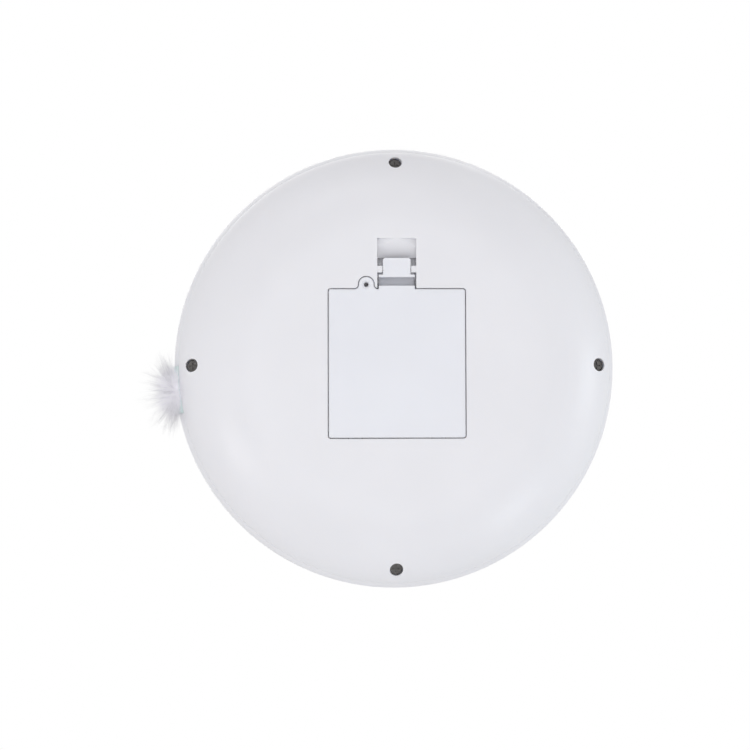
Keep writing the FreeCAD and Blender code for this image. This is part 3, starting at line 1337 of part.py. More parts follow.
def gears():
    pinion = int(float(s.pinionTeeth))
    turret = int(float(s.turretTeeth))
    reduction = int(float(s.reductionTeeth))
    low = float(gearLow)
    high = float(gearHigh)
    bore = float(s.shaftRadius + s.runGap / 4)
    over = float(s.over)
    x = float(turretMotorX)
    node(solid("turret_pinion_gear", gear_shape(pinion, low, high, bore, 0.0), x), "turret_pinion")
    tube_top = float(tubeTop)
    inner = float(hubInner)
    outer = float(hubOuter)
    wheel = gear_shape(turret, low, high, 0.0, mesh_phase(turret, 180.0))
    collar_high = float(wellFloor - s.fitGap)
    tube = cylinder(outer, low, tube_top).fuse([
        cylinder(outer + float(s.hubCollar), collar_high - float(s.collarRise), collar_high),
        cylinder(outer + float(s.hubFoot), low, high + float(s.hubFootRise)),
    ])
    wheel = wheel.fuse(tube).cut(cylinder(inner, low - over, tube_top + over))
    middle = (inner + outer) / 2
    pilot_low = float(turretScrewSeat - s.turretScrewLength - s.fitGap)
    for side in (-1.0, 1.0):
        pilot = cylinder(s.turretScrewRadius + s.threadGap, pilot_low, tube_top + over, middle * side, 0.0)
        wheel = wheel.cut(pilot)
    circle = float(s.lightenCircle)
    lighten = []
    for turn in range(30, 390, 60):
        angle = math.radians(turn)
        lighten.append(cylinder(s.lightenRadius, low - over, high + over,
                                circle * math.cos(angle), circle * math.sin(angle)))
    wheel = wheel.cut(lighten)
    node(solid("turret_gear_wheel", wheel), "turret_gear")

    away = float(s.motorBearing - s.plumeAngle)
    gear_x = float(reductionX)
    small = gear_shape(pinion, high - float(s.bond), float(sectorHigh), 0.0, 0.0)
    large_phase = mesh_phase(reduction, away)
    large = gear_shape(reduction, low, high, 0.0, large_phase)
    axle_way = cylinder(s.shaftRadius + s.runGap, low - over, sectorHigh + over)
    compound = large.fuse(small).cut(axle_way)
    node(solid("reduction_gear_wheel", compound, gear_x, 0.0, s.plumeAngle), "reduction_gear")
    drive = gear_shape(pinion, low, high, bore, away + 180.0)
    node(solid("plume_pinion_gear", drive, plumeMotorX, plumeMotorY, s.plumeAngle), "plume_pinion")


def wag_arm():
    pivot = float(armPivot)
    half = math.radians(float(s.sectorHalfAngle))
    reach = float(sectorRadius + s.sectorReach)
    low = float(sectorLow)
    mid = float(sectorHigh)
    top = float(cupHeight + s.armWidth / 2)
    over = float(s.over)
    teeth = int(float(s.sectorTeeth))
    wheel = gear_shape(teeth, low, mid, 0.0, mesh_phase(teeth, 180.0))
    wedge = Part.Face(Part.makePolygon([
        Vector(0, 0, low), Vector(-reach, -reach * math.tan(half), low),
        Vector(-reach, reach * math.tan(half), low), Vector(0, 0, low),
    ])).extrude(Vector(0, 0, mid - low))
    sector = wheel.common(wedge)
    hub = cylinder(s.armHubRadius, gearLow, top)
    width = float(s.armWidth)
    run = float(cupStart) - pivot
    bar = Part.makeBox(run, width, top - mid + over, Vector(0, -width / 2, mid - over))
    tail = float(s.armTail)
    rib = Part.makeBox(tail, width, 2 * over, Vector(-tail, -width / 2, mid - over / 2))
    arm = hub.fuse([sector, bar, rib]).cut(cylinder(s.armPinRadius + s.runGap, gearLow - over, top + over))
    spigot = Part.makeCylinder(
        float(s.cupBore - s.spigotGap), float(s.spigotLength + s.bond),
        Vector(run - float(s.bond), 0, float(cupHeight)), Vector(1, 0, 0)
    )
    arm = arm.fuse(spigot)
    node(solid("wag_arm_solid", arm, pivot, 0.0, s.plumeAngle), "wag_arm")
    pin_x, pin_y = in_plume_frame(armPivot, 0.0)
    axle_x, axle_y = in_plume_frame(reductionX, 0.0)
    pin_top = size(top) + s.clipThickness * 2
    node(rod("arm_pin", s.armPinRadius, frameHeight - s.pinDepth, pin_top, pin_x, pin_y), "arm_pivot_pin")
    axle_top = sectorHigh + s.clipThickness * 2
    axle = rod("axle_pin", s.shaftRadius, frameHeight - s.pinDepth, axle_top, axle_x, axle_y)
    node(axle, "reduction_axle")
    clips = []
    for name, radius, seat, x, y in (("pin_clip", s.armPinRadius, size(top) + s.fitGap, pin_x, pin_y),
                                     ("axle_clip", s.shaftRadius, sectorHigh + s.fitGap, axle_x, axle_y)):
        high = seat + s.clipThickness
        disc = rod(name + "_disc", radius + s.clipReach, seat, high, x, y)
        clips.append(cut(name, disc, [rod(name + "_hole", radius, seat - s.over, high + s.over, x, y)]))
    node(group("clips_group", clips), "retaining_clips")


def plume_parts():
    """The cup on the arm and the tuft in it, lofted through ellipses that swell and close again."""
    start = float(cupStart)
    end = start + float(s.cupLength)
    z = float(cupHeight)
    over = float(s.over)
    along = Vector(1, 0, 0)
    cup = Part.makeCylinder(float(s.cupRadius), end - start, Vector(start, 0, z), along)
    socket = Part.makeCylinder(
        float(s.cupBore - s.spigotGap + s.threadGap), float(s.spigotLength + s.fitGap) + over,
        Vector(start - over, 0, z), along
    )
    mouth_start = end - float(s.cupDepth)
    mouth = Part.makeCylinder(float(s.cupBore), float(s.cupDepth) + over, Vector(mouth_start, 0, z), along)
    node(solid("plume_cup_solid", cup.cut([socket, mouth]), turn=s.plumeAngle), "plume_cup")
    root_x = float(plumeRoot)
    reach = float(plumeReach)
    gap = float(s.stemGap)
    stem = Part.makeCylinder(
        float(s.cupBore) - gap, root_x - mouth_start, Vector(mouth_start + gap, 0, z), along
    )
    across = Rotation(Vector(0, 1, 0), Vector(0, 0, 1), Vector(1, 0, 0))
    rings = []
    for step in range(7):
        share = step / 6.0
        swell = math.sin(math.pi * (float(s.plumeOpen) + float(s.plumeClose) * share))
        ellipse = Part.Ellipse(Vector(0, 0, 0), float(s.plumeHalf) * swell, float(s.plumeRise) * swell)
        ring = ellipse.toShape()
        drop = float(s.plumeFall) * share * share
        ring.Placement = Placement(Vector(root_x + (reach - root_x) * share, 0, z - drop), across)
        rings.append(Part.Wire(ring))
    tuft = Part.makeLoft(rings, True, False)
    node(solid("plume_solid", stem.fuse(tuft), turn=s.plumeAngle), "plume")


def turret():
    floor = turretFloor
    outer = s.wellRadius - s.turretGap
    inner = outer - s.turretWall
    shoulder = s.turretShoulder
    seat = floor + s.basePlate
    disc = rod("turret_disc", inner - s.looseGap, floor, seat)
    socket = rod("turret_socket", hubOuter + s.hubCollar, floor, turretScrewSeat)
    uprights = [
        block(f"upright_{n}", low, high, -s.uprightHalf, s.uprightHalf, floor,
              mirrorHeight + s.uprightTop)
        for n, (low, high) in enumerate((
            (s.uprightX, s.uprightX + s.uprightWall),
            (-s.uprightX - s.uprightWall, -s.uprightX),
        ))
    ]
    bores = [
        rod("socket_bore", hubOuter + s.threadGap, floor - s.over, tubeTop + s.threadGap),
        rod("beam_hole", s.laserRadius + s.over, floor - s.over, turretTop),
        lying_rod("trunnion_bore", s.trunnionRadius + s.runGap, -s.uprightX - s.uprightWall - s.over,
                  s.uprightX + s.uprightWall + s.over, 0.0, mirrorHeight),
    ]
    mid = (hubInner + hubOuter) / 2
    for n, side in enumerate((-1.0, 1.0)):
        bores.append(rod(f"socket_screw_way_{n}", s.turretScrewRadius + s.plungerPlay, floor,
                         turretTop, mid * side, 0.0))
    blank = fuse("turret_base_blank", [disc, socket] + uprights)
    node(cut("turret_base_solid", blank, bores), "turret_base")
    screws = [
        screw(f"turret_screw_{n}", s.turretScrewRadius, s.turretScrewLength, s.turretHeadRadius,
              s.turretHeadHeight, turretScrewSeat, mid * side, 0.0)
        for n, side in enumerate((-1.0, 1.0))
    ]
    node(group("turret_screws_group", screws), "turret_screws")

    edge_z = turretTop - shoulder
    top_x = outer - shoulder
    cap_radius = (top_x * top_x + s.turretCrown * s.turretCrown) / (s.turretCrown * 2)
    cap_z = turretTop + s.turretCrown - cap_radius
    cap_inside = cap_radius - s.turretWall
    low = floor - s.fitGap
    ledge = s.basePlate
    skin = turned("cover_skin", [
        (inner, low),
        (outer - s.edgeBreak, low),
        (outer, low + s.edgeBreak),
        (outer, edge_z),
        (top_x, turretTop, top_x, edge_z, shoulder, 1),
        (0.0, turretTop + s.turretCrown, 0.0, cap_z, cap_radius, 1),
        (0.0, turretTop + s.turretCrown - s.turretWall),
        (top_x, cap_z + root(cap_inside * cap_inside - top_x * top_x), 0.0, cap_z, cap_inside, -1),
        (inner, edge_z, top_x, edge_z, shoulder - s.turretWall, -1),
        (inner, seat + ledge),
        (inner - s.lipReach, seat + ledge / 2),
        (inner - s.lipReach, seat),
        (inner, seat),
    ])

    def strip(name, outside, inside, low, high, angle):
        item = turned(name, [(inside, low), (outside, low), (outside, high), (inside, high)], angle)
        return place(item, turn=size(-90.0))
    window_way = strip("window_opening", outer + s.over, inner - s.over, windowLow, windowHigh,
                       s.windowAngle)
    slot = block("lever_slot", -s.leverHalf - s.leverPlay, s.leverHalf + s.leverPlay, -s.slotFront,
                 s.leverSlot, turretTop - s.turretShoulder, turretTop + s.turretShoulder)
    node(cut("turret_cover_solid", skin, [window_way, slot]), "turret_cover")
    low = windowLow + s.threadGap
    high = windowHigh - s.threadGap
    angle = s.windowAngle - s.paneAngle
    pane = strip("window_pane", outer - s.plungerPlay, inner, low, high, angle)
    rim = strip("window_rim", inner - s.grommetSeat, inner - s.rimFrame, windowLow - s.rimLow, high,
                s.windowAngle + s.rimAngle)
    bond = strip("window_bond", inner + s.bond, inner - s.bond, low, high, angle)
    node(fuse("turret_window_solid", [pane, rim, bond]), "turret_window")


def mirror_parts():
    """Cradle and mirror lean back by 45 degrees about the trunnions, so the beam leaves towards -Y."""
    z = float(mirrorHeight)
    half = float(s.cradleHalf)
    glass = float(s.mirrorHalf)
    thick = float(s.mirrorThickness)
    back = float(s.cradleThickness)
    lean = Rotation(Vector(1, 0, 0), -45.0)
    frame = Part.makeBox(2 * half, 2 * half, back, Vector(-half, -half, 0))
    mirror = Part.makeBox(2 * glass, 2 * glass, thick, Vector(-glass, -glass, -thick))
    for shape in (frame, mirror):
        shape.Placement = Placement(Vector(0, 0, z), lean).multiply(shape.Placement)
    radius = float(s.trunnionRadius)
    reach = float(s.uprightX + s.uprightWall)
    pins = Part.makeCylinder(radius, 2 * reach, Vector(-reach, 0, z), Vector(1, 0, 0))
    over = float(s.over)
    gap = half - over / 2
    pins = pins.cut(Part.makeBox(2 * gap, 2 * half, 2 * half, Vector(-gap, -half, z - half)))
    cheek_hole = Part.makeBox(2 * half, 2 * half, 2 * half, Vector(-half, -half, -2 * half))
    cheek_hole.Placement = Placement(Vector(0, 0, z), lean).multiply(cheek_hole.Placement)
    side = float(s.uprightX - s.trunnionPlay)
    shoulder = Part.makeCylinder(radius + over, 2 * side, Vector(-side, 0, z), Vector(1, 0, 0))
    shoulder = shoulder.cut(cheek_hole)
    lever_top = float(turretTop + s.turretCrown + s.leverProud)
    lever_half = float(s.leverHalf)
    lever_wall = float(s.leverWall)
    lever = Part.makeBox(2 * lever_half, lever_wall, lever_top - z, Vector(-lever_half, float(s.leverY), z))
    lever = lever.cut(cheek_hole)
    cradle = frame.fuse([pins, shoulder, lever])
    node(solid("mirror_cradle_solid", cradle), "mirror_cradle")
    node(solid("mirror_solid", mirror), "mirror")


def laser():
    top = laserLow + s.laserLength
    lens_high = top - s.lensSink
    barrel = cut("laser_barrel", rod("laser_can", s.laserRadius, laserLow, top), [
        rod("laser_mouth", s.lensRadius - s.lensLedge, top - s.mouthDepth, top + s.over),
        rod("lens_seat", s.lensRadius, lens_high - s.lensThickness, top + s.over),
    ])
    node(barrel, "laser_module")
    node(rod("lens_disc", s.lensRadius, lens_high - s.lensThickness, lens_high), "laser_lens")


def electronics():
    low = boardHeight
    top = low + s.boardThickness
    half = s.boardLength / 2
    wide = s.boardWidth / 2
    board = cut("board_cut", block("board_blank", -half, half, s.boardY - wide, s.boardY + wide, low, top), [
        rod(f"board_hole_{n}", s.boardScrewRadius + s.looseGap, low - s.over, top + s.over,
            s.boardPostX * side, s.boardY)
        for n, side in enumerate((-1.0, 1.0))
    ])
    node(board, "main_board")
    screws = [
        screw(f"board_screw_{n}", s.boardScrewRadius, s.boardScrewLength, s.boardHeadRadius,
              s.boardHeadHeight, top, s.boardPostX * side, s.boardY)
        for n, side in enumerate((-1.0, 1.0))
    ]
    node(group("board_screws_group", screws), "board_screws")
    chip = block("chip", s.chipX - s.chipHalf, s.chipX + s.chipHalf, s.boardY - s.chipFront,
                 s.boardY + s.chipBack, top, top + s.chipHeight)
    node(chip, "control_chip")
    can = rod("capacitor_can", s.capacitorRadius, top, top + s.capacitorHeight,
              s.chipX, s.boardY + s.capacitorY)
    node(can, "capacitor")
    side = s.switchSide / 2
    switch_top = top + s.switchHeight
    body = block("switch_body", -side, side, s.boardY - side, s.boardY + side, top, switch_top)
    node(cut("switch_cut", body, [
        rod("switch_well", s.plungerRadius + s.plungerPlay, switch_top - s.buttonTravel - s.over,
            switch_top + s.over, 0.0, s.boardY),
    ]), "tact_switch")
    plunger_top = switch_top + s.plungerRise
    plunger = rod("plunger", s.plungerRadius, switch_top - s.plungerDepth, plunger_top, 0.0, s.boardY)
    node(plunger, "switch_plunger")
    light = block("led_body", s.ledX - s.ledHalfX, s.ledX + s.ledHalfX, s.boardY - s.ledHalfY,
                  s.boardY + s.ledHalfY, top, top + s.ledHeight)
    node(light, "status_led")
    skin = crown(s.boardY)
    button_top = skin + s.buttonProud
    cap_round = s.buttonProud * 0.6
    flange_high = collarLow - s.fitGap
    cap = turned("button_cap", [
        (0.0, plunger_top),
        (s.stemRadius, plunger_top),
        (s.stemRadius, flange_high - s.flangeThickness),
        (s.buttonRadius + s.buttonFlange, flange_high - s.flangeThickness),
        (s.buttonRadius + s.buttonFlange, flange_high),
        (s.buttonRadius, flange_high),
        (s.buttonRadius, button_top - cap_round),
        (s.buttonRadius - cap_round, button_top,
         s.buttonRadius - cap_round, button_top - cap_round, cap_round, 1),
        (0.0, button_top),
    ])
    place(cap, 0.0, s.boardY, 0.0)
    node(cap, "mode_button")
    pipe_low = top + s.ledHeight + s.fitGap
    pipe = rod("light_pipe_rod", s.pipeRadius, pipe_low, crown(s.boardY) - s.pipeSink, s.ledX, s.boardY)
    node(pipe, "light_pipe")


def lead(points, radius, bend):
    """A round lead: straight runs between points, joined by tangent arcs."""
    corners = [Vector(*(float(value) for value in point)) for point in points]
    edges = []
    start = corners[0]
    for before, corner, after in zip(corners, corners[1:], corners[2:]):
        back = (before - corner).normalize()
        ahead = (after - corner).normalize()
        turn = math.pi - back.getAngle(ahead)
        trim = bend * math.tan(turn / 2)
        first = corner + back * trim
        last = corner + ahead * trim
        middle = (back + ahead).normalize()
        centre = corner + middle * (bend / math.cos(turn / 2))
        edges.append(Part.LineSegment(start, first).toShape())
        edges.append(Part.Arc(first, centre - middle * bend, last).toShape())
        start = last
    edges.append(Part.LineSegment(start, corners[-1]).toShape())
    path = Part.Wire(edges)
    section = Part.Wire(Part.makeCircle(radius, corners[0], corners[1] - corners[0]))
    tube = path.makePipeShell([section], True, False)
    print("lead volume ratio", round(tube.Volume / (math.pi * radius ** 2 * path.Length), 4))
    return tube


def leads():
    for name, colour in (("red_leads", 0), ("black_leads", 1)):
        tubes = [
            lead(routes[colour], float(s.leadRadius), float(s.leadBend))
            for routes in lead_routes()
        ]
        node(solid(name + "_group", Part.makeCompound(tubes)), name)


lower_shell()
upper_shell()
exit_grommet()
battery_door()
batteries()
battery_springs()
housing_screws()
drive_frame()
motors()
gears()
wag_arm()
plume_parts()
turret()
mirror_parts()
laser()
electronics()
leads()

doc.recompute()
faults = [item.Name for item in doc.Objects if "Invalid" in item.State or "Error" in item.State]
if faults:
    raise SystemExit("objects that failed: " + ", ".join(faults))
os.makedirs("parts", exist_ok=True)
for label, item in nodes:
    if item.Shape.isNull() or not item.Shape.isValid():
        raise SystemExit("not a valid shape: " + label)
for label, item in nodes:
    item.Shape.exportStep(f"parts/{label}.step")
    print(label, len(item.Shape.Solids), round(item.Shape.Volume, 1))
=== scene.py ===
import bpy
import json
import math
import numpy as np
from mathutils import Matrix, Vector

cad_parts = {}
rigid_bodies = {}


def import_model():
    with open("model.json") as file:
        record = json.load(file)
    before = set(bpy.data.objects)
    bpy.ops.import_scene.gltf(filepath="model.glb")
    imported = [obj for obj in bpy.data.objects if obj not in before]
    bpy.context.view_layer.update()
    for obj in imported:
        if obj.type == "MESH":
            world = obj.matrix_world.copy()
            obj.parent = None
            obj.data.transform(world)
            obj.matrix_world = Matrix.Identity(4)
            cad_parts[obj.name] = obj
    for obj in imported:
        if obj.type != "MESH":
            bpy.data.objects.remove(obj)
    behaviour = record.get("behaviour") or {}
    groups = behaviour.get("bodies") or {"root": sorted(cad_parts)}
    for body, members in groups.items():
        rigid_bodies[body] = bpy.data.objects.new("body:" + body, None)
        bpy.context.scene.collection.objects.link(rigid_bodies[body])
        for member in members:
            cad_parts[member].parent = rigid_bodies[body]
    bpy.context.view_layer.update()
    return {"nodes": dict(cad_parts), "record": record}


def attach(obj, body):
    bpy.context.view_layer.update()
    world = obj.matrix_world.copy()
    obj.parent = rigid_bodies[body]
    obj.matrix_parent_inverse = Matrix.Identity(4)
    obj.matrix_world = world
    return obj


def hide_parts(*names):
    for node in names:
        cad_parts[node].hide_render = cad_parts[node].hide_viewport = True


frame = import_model()
cadNodes = frame["nodes"]
print("frame loaded:", len(cadNodes), "nodes")


noiseLow = 0.3    # where noise takes its first value
noiseHigh = 0.7   # where it takes its second


def freshMaterial(name):
    # an empty material with one shader, and each point's place on its own object in metres
    material = bpy.data.materials.new(name)
    material.use_nodes = True
    tree = material.node_tree
    tree.nodes.clear()
    output = tree.nodes.new("ShaderNodeOutputMaterial")
    shader = tree.nodes.new("ShaderNodeBsdfPrincipled")
    tree.links.new(shader.outputs["BSDF"], output.inputs["Surface"])
    place = tree.nodes.new("ShaderNodeTexCoord")
    return material, tree, shader, place.outputs["Object"]


def stretched(tree, place, factors):
    # place times factors, so that a pattern runs long one way
    mapping = tree.nodes.new("ShaderNodeMapping")
    mapping.vector_type = "POINT"
    mapping.inputs["Scale"].default_value = factors
    tree.links.new(place, mapping.inputs["Vector"])
    return mapping.outputs["Vector"]


def noise(tree, place, scale, detail=3.0, rough=0.5):
    # cloudy pattern with scale waves to the metre; detail adds finer ones, each rough times as strong
    texture = tree.nodes.new("ShaderNodeTexNoise")
    texture.inputs["Scale"].default_value = scale
    texture.inputs["Detail"].default_value = detail
    texture.inputs["Roughness"].default_value = rough
    tree.links.new(place, texture.inputs["Vector"])
    return texture.outputs["Fac"]


def spanned(tree, value, low, high, start=noiseLow, end=noiseHigh):
    # value between start and end becomes low to high
    span = tree.nodes.new("ShaderNodeMapRange")
    span.inputs["From Min"].default_value = start
    span.inputs["From Max"].default_value = end
    span.inputs["To Min"].default_value = low
    span.inputs["To Max"].default_value = high
    tree.links.new(value, span.inputs["Value"])
    return span.outputs["Result"]


def twoColours(tree, value, first, second):
    # the first colour up to noiseLow, the second from noiseHigh
    ramp = tree.nodes.new("ShaderNodeValToRGB")
    for stop, place, colour in zip(ramp.color_ramp.elements, (noiseLow, noiseHigh), (first, second)):
        stop.position = place
        stop.color = (*colour, 1.0)
    tree.links.new(value, ramp.inputs["Fac"])
    return ramp.outputs["Color"]


def joined(tree, kind, first, second):
    # one step of arithmetic on two sockets or plain numbers
    maths = tree.nodes.new("ShaderNodeMath")
    maths.operation = kind
    for socket, value in zip(maths.inputs, (first, second)):
        if isinstance(value, float):
            socket.default_value = value
        else:
            tree.links.new(value, socket)
    return maths.outputs["Value"]


def raised(tree, shader, height, depth, strength=1.0, under=None):
    # bump of depth metres for height 0 to 1
    bump = tree.nodes.new("ShaderNodeBump")
    bump.inputs["Distance"].default_value = depth
    bump.inputs["Strength"].default_value = strength
    tree.links.new(height, bump.inputs["Height"])
    if under is not None:
        tree.links.new(under, bump.inputs["Normal"])
    tree.links.new(bump.outputs["Normal"], shader.inputs["Normal"])
    return bump.outputs["Normal"]


def shaded(colour, factor):
    # colour times factor, each channel at most 1
    return tuple(min(1.0, channel * factor) for channel in colour)


def toned(tree, shader, value, first, second):
    # base colour from the first to the second along value
    colour = twoColours(tree, value, first, second)
    tree.links.new(colour, shader.inputs["Base Color"])
    return colour


def glossed(tree, shader, value, low, high):
    # roughness from low to high along value
    tree.links.new(spanned(tree, value, low, high), shader.inputs["Roughness"])


def glossedTwice(tree, shader, fine, broad, look):
    # roughness is the look's own, plus a swing of spread from each of two patterns
    spread = look["spread"]
    swing = spanned(tree, fine, -spread, spread)
    level = spanned(tree, broad, look["roughness"] - spread, look["roughness"] + spread)
    tree.links.new(joined(tree, "ADD", swing, level), shader.inputs["Roughness"])


def drifted(tree, value, look):
    # the look's colour, darker and lighter by its drift
    drift = look["drift"]
    return twoColours(tree, value, shaded(look["colour"], 1.0 - drift), shaded(look["colour"], 1.0 + drift))


def paintedDepthShade(tree, place, tone, look):
    # painted shade: tone times 1 at height deepFrom, falling to deepTone at height deepTo, so that a part is
    # darker deep inside, where it lies in shade
    split = tree.nodes.new("ShaderNodeSeparateXYZ")
    tree.links.new(place, split.inputs["Vector"])
    scaled = tree.nodes.new("ShaderNodeVectorMath")
    scaled.operation = "SCALE"
    tree.links.new(tone, scaled.inputs["Vector"])
    factor = spanned(tree, split.outputs["Z"], 1.0, look["deepTone"], look["deepFrom"], look["deepTo"])
    tree.links.new(factor, scaled.inputs["Scale"])
    return scaled.outputs["Vector"]


def mouldedPlastic(name, look):
    # tone drifts over patchSize, mould grain over grainSize, rub marks run long over rubSize, and the surface
    # waves over waveSize; light goes glowReach metres into it where depthGlow is set
    material, tree, shader, place = freshMaterial(name)
    patches = noise(tree, place, 1.0 / look["patchSize"], 2.0)
    grain = noise(tree, place, 1.0 / look["grainSize"], 2.0, 0.6)
    waves = noise(tree, place, 1.0 / look["waveSize"], 1.0)
    rubbed = noise(tree, stretched(tree, place, look["rubWay"]), 1.0 / look["rubSize"], 4.0, 0.65)
    tone = drifted(tree, patches, look)
    # painted shade: where the look asks for it, the colour darkens with height inside the part, standing in
    # for shade down in a slot
    if look["deepTone"] < 1.0:
        tone = paintedDepthShade(tree, place, tone, look)
    tree.links.new(tone, shader.inputs["Base Color"])
    glossedTwice(tree, shader, grain, rubbed, look)
    under = raised(tree, shader, waves, look["waveDepth"])
    raised(tree, shader, grain, look["grainDepth"], 1.0, under)
    shader.inputs["IOR"].default_value = look["ior"]
    shader.inputs["Coat Weight"].default_value = look["coat"]
    shader.inputs["Coat Roughness"].default_value = look["coatRoughness"]
    if look["depthGlow"] > 0.0:
        shader.inputs["Subsurface Weight"].default_value = look["depthGlow"]
        shader.inputs["Subsurface Radius"].default_value = look["glowReach"]
        shader.inputs["Subsurface Scale"].default_value = 1.0
    return material


def platedMetal(name, look):
    # fine drawn lines along one axis, cloudy oxide patches and tiny pits
    material, tree, shader, place = freshMaterial(name)
    lines = noise(tree, stretched(tree, place, look["lineWay"]), 1.0 / look["lineSize"], 4.0, 0.7)
    clouds = noise(tree, place, 1.0 / look["cloudSize"], 3.0)
    pits = noise(tree, place, 1.0 / look["pitSize"], 2.0)
    tree.links.new(drifted(tree, clouds, look), shader.inputs["Base Color"])
    glossedTwice(tree, shader, lines, clouds, look)
    under = raised(tree, shader, lines, look["lineDepth"])
    raised(tree, shader, pits, look["pitDepth"], look["pitStrength"], under)
    shader.inputs["Metallic"].default_value = 1.0
    return material


def clearPlastic(name, look):
    # tinted and see-through, with faint flow lines and a little haze
    material, tree, shader, place = freshMaterial(name)
    flow = noise(tree, stretched(tree, place, look["flowWay"]), 1.0 / look["flowSize"], 2.0)
    haze = noise(tree, place, 1.0 / look["hazeSize"], 3.0)
    toned(tree, shader, flow, shaded(look["colour"], look["flowTone"]), look["colour"])
    glossed(tree, shader, haze, look["roughness"] * look["hazeLeast"], look["roughness"] * look["hazeMost"])
    raised(tree, shader, flow, look["flowDepth"])
    shader.inputs["Transmission Weight"].default_value = look["clear"]
    shader.inputs["IOR"].default_value = look["ior"]
    return material


def silvered(name, look):
    # front-silvered glass with a haze of fine wipe marks
    material, tree, shader, place = freshMaterial(name)
    wipes = noise(tree, stretched(tree, place, look["wipeWay"]), 1.0 / look["wipeSize"], 5.0, 0.7)
    specks = noise(tree, place, 1.0 / look["speckSize"], 2.0)
    toned(tree, shader, specks, shaded(look["colour"], look["speckTone"]), look["colour"])
    glossed(tree, shader, wipes, look["roughness"] * look["wipeLeast"], look["roughness"] * look["wipeMost"])
    raised(tree, shader, specks, look["speckDepth"])
    shader.inputs["Metallic"].default_value = 1.0
    return material


def circuitBoard(name, look):
    # solder mask over copper: rows of blocks with tracks between them, brighter over the copper
    material, tree, shader, place = freshMaterial(name)
    bricks = tree.nodes.new("ShaderNodeTexBrick")
    bricks.inputs["Scale"].default_value = 1.0 / look["trackPitch"]
    bricks.inputs["Mortar Size"].default_value = look["trackShare"]
    bricks.inputs["Mortar Smooth"].default_value = look["trackSmooth"]
    bricks.inputs["Color1"].default_value = (*look["mask"], 1.0)
    bricks.inputs["Color2"].default_value = (*shaded(look["mask"], look["maskTone"]), 1.0)
    bricks.inputs["Mortar"].default_value = (*look["track"], 1.0)
    tree.links.new(place, bricks.inputs["Vector"])
    weave = noise(tree, place, 1.0 / look["weaveSize"], 3.0)
    tree.links.new(bricks.outputs["Color"], shader.inputs["Base Color"])
    glossed(tree, shader, weave, look["roughness"] - look["glossLess"], look["roughness"] + look["glossMore"])
    under = raised(tree, shader, bricks.outputs["Fac"], look["trackDepth"])
    raised(tree, shader, weave, look["weaveDepth"], look["weaveStrength"], under)
    shader.inputs["Coat Weight"].default_value = look["coat"]
    return material


def wrappedCell(name, look):
    # plain shrink wrap round the middle, bare steel past wrapHalf from the middle of the bay
    material, tree, shader, place = freshMaterial(name)
    split = tree.nodes.new("ShaderNodeSeparateXYZ")
    tree.links.new(place, split.inputs["Vector"])
    along = joined(tree, "ABSOLUTE", split.outputs["X"], 0.0)
    bare = spanned(tree, along, 0.0, 1.0, look["wrapHalf"], look["wrapHalf"] + look["wrapEdge"])
    crease = noise(tree, stretched(tree, place, look["creaseWay"]), 1.0 / look["creaseSize"], 3.0)
    scuffs = noise(tree, place, 1.0 / look["scuffSize"], 4.0, 0.7)
    drift = look["drift"]
    wrapTone = twoColours(tree, scuffs, shaded(look["wrap"], 1.0 - drift), shaded(look["wrap"], 1.0 + drift))
    mixer = tree.nodes.new("ShaderNodeMix")
    mixer.data_type = "RGBA"
    tree.links.new(bare, mixer.inputs[0])
    tree.links.new(wrapTone, mixer.inputs[6])
    mixer.inputs[7].default_value = (*look["steel"], 1.0)
    tree.links.new(mixer.outputs[2], shader.inputs["Base Color"])
    tree.links.new(bare, shader.inputs["Metallic"])
    glossed(tree, shader, scuffs, look["roughness"] - look["glossLess"],
            look["roughness"] + look["glossMore"])
    raised(tree, shader, crease, look["creaseDepth"])
    return material


def strandFibre(name, look):
    # from the root's colour to the tip's, each strand with its own tone; the share glow passes through, and
    # scatter, less towards the tip, stands in for the light thrown from strand to strand
    material, tree, shader, place = freshMaterial(name)
    own = tree.nodes.new("ShaderNodeAttribute")
    own.attribute_name = "strandTone"
    way = tree.nodes.new("ShaderNodeUVMap")
    way.uv_map = "strandMap"
    split = tree.nodes.new("ShaderNodeSeparateXYZ")
    tree.links.new(way.outputs["UV"], split.inputs["Vector"])
    scales = noise(tree, place, 1.0 / look["scaleSize"], 2.0)
    tone = joined(tree, "ADD", spanned(tree, own.outputs["Fac"], -look["ownTone"], look["ownTone"], 0.0, 1.0),
                  spanned(tree, split.outputs["Y"], look["rootTone"], look["tipTone"], 0.0, 1.0))
    colour = toned(tree, shader, tone, look["root"], look["tip"])
    glossed(tree, shader, scales, look["roughness"] - look["spread"], look["roughness"] + look["spread"])
    bumped = raised(tree, shader, scales, look["scaleDepth"])
    shader.inputs["Specular IOR Level"].default_value = look["shine"]
    tree.links.new(colour, shader.inputs["Emission Color"])
    thrown = spanned(tree, split.outputs["Y"], look["scatter"], look["tipScatter"], 0.0, look["scatterEnd"])
    tree.links.new(thrown, shader.inputs["Emission Strength"])
    through = tree.nodes.new("ShaderNodeBsdfTranslucent")
    tree.links.new(colour, through.inputs["Color"])
    tree.links.new(bumped, through.inputs["Normal"])
    mix = tree.nodes.new("ShaderNodeMixShader")
    mix.inputs["Fac"].default_value = look["glow"]
    output = [node for node in tree.nodes if node.type == "OUTPUT_MATERIAL"][0]
    tree.links.new(shader.outputs["BSDF"], mix.inputs[1])
    tree.links.new(through.outputs["BSDF"], mix.inputs[2])
    tree.links.new(mix.outputs["Shader"], output.inputs["Surface"])
    return material


def plasticLook(colour, roughness, **changes):
    # what the plastics share, with the changes of one finish; sizes and depths in metres
    look = {"colour": colour, "roughness": roughness, "drift": 0.012, "patchSize": 0.045,
            "grainSize": 0.0006, "grainDepth": 0.000006, "waveSize": 0.05, "waveDepth": 0.00008,
            "rubSize": 0.012, "rubWay": (1.0, 0.18, 1.0), "spread": 0.025, "ior": 1.47, "coat": 0.0,
            "coatRoughness": 0.1, "deepTone": 1.0, "depthGlow": 0.0, "glowReach": (0.0022, 0.0021, 0.0020)}
    look.update(changes)
    return look


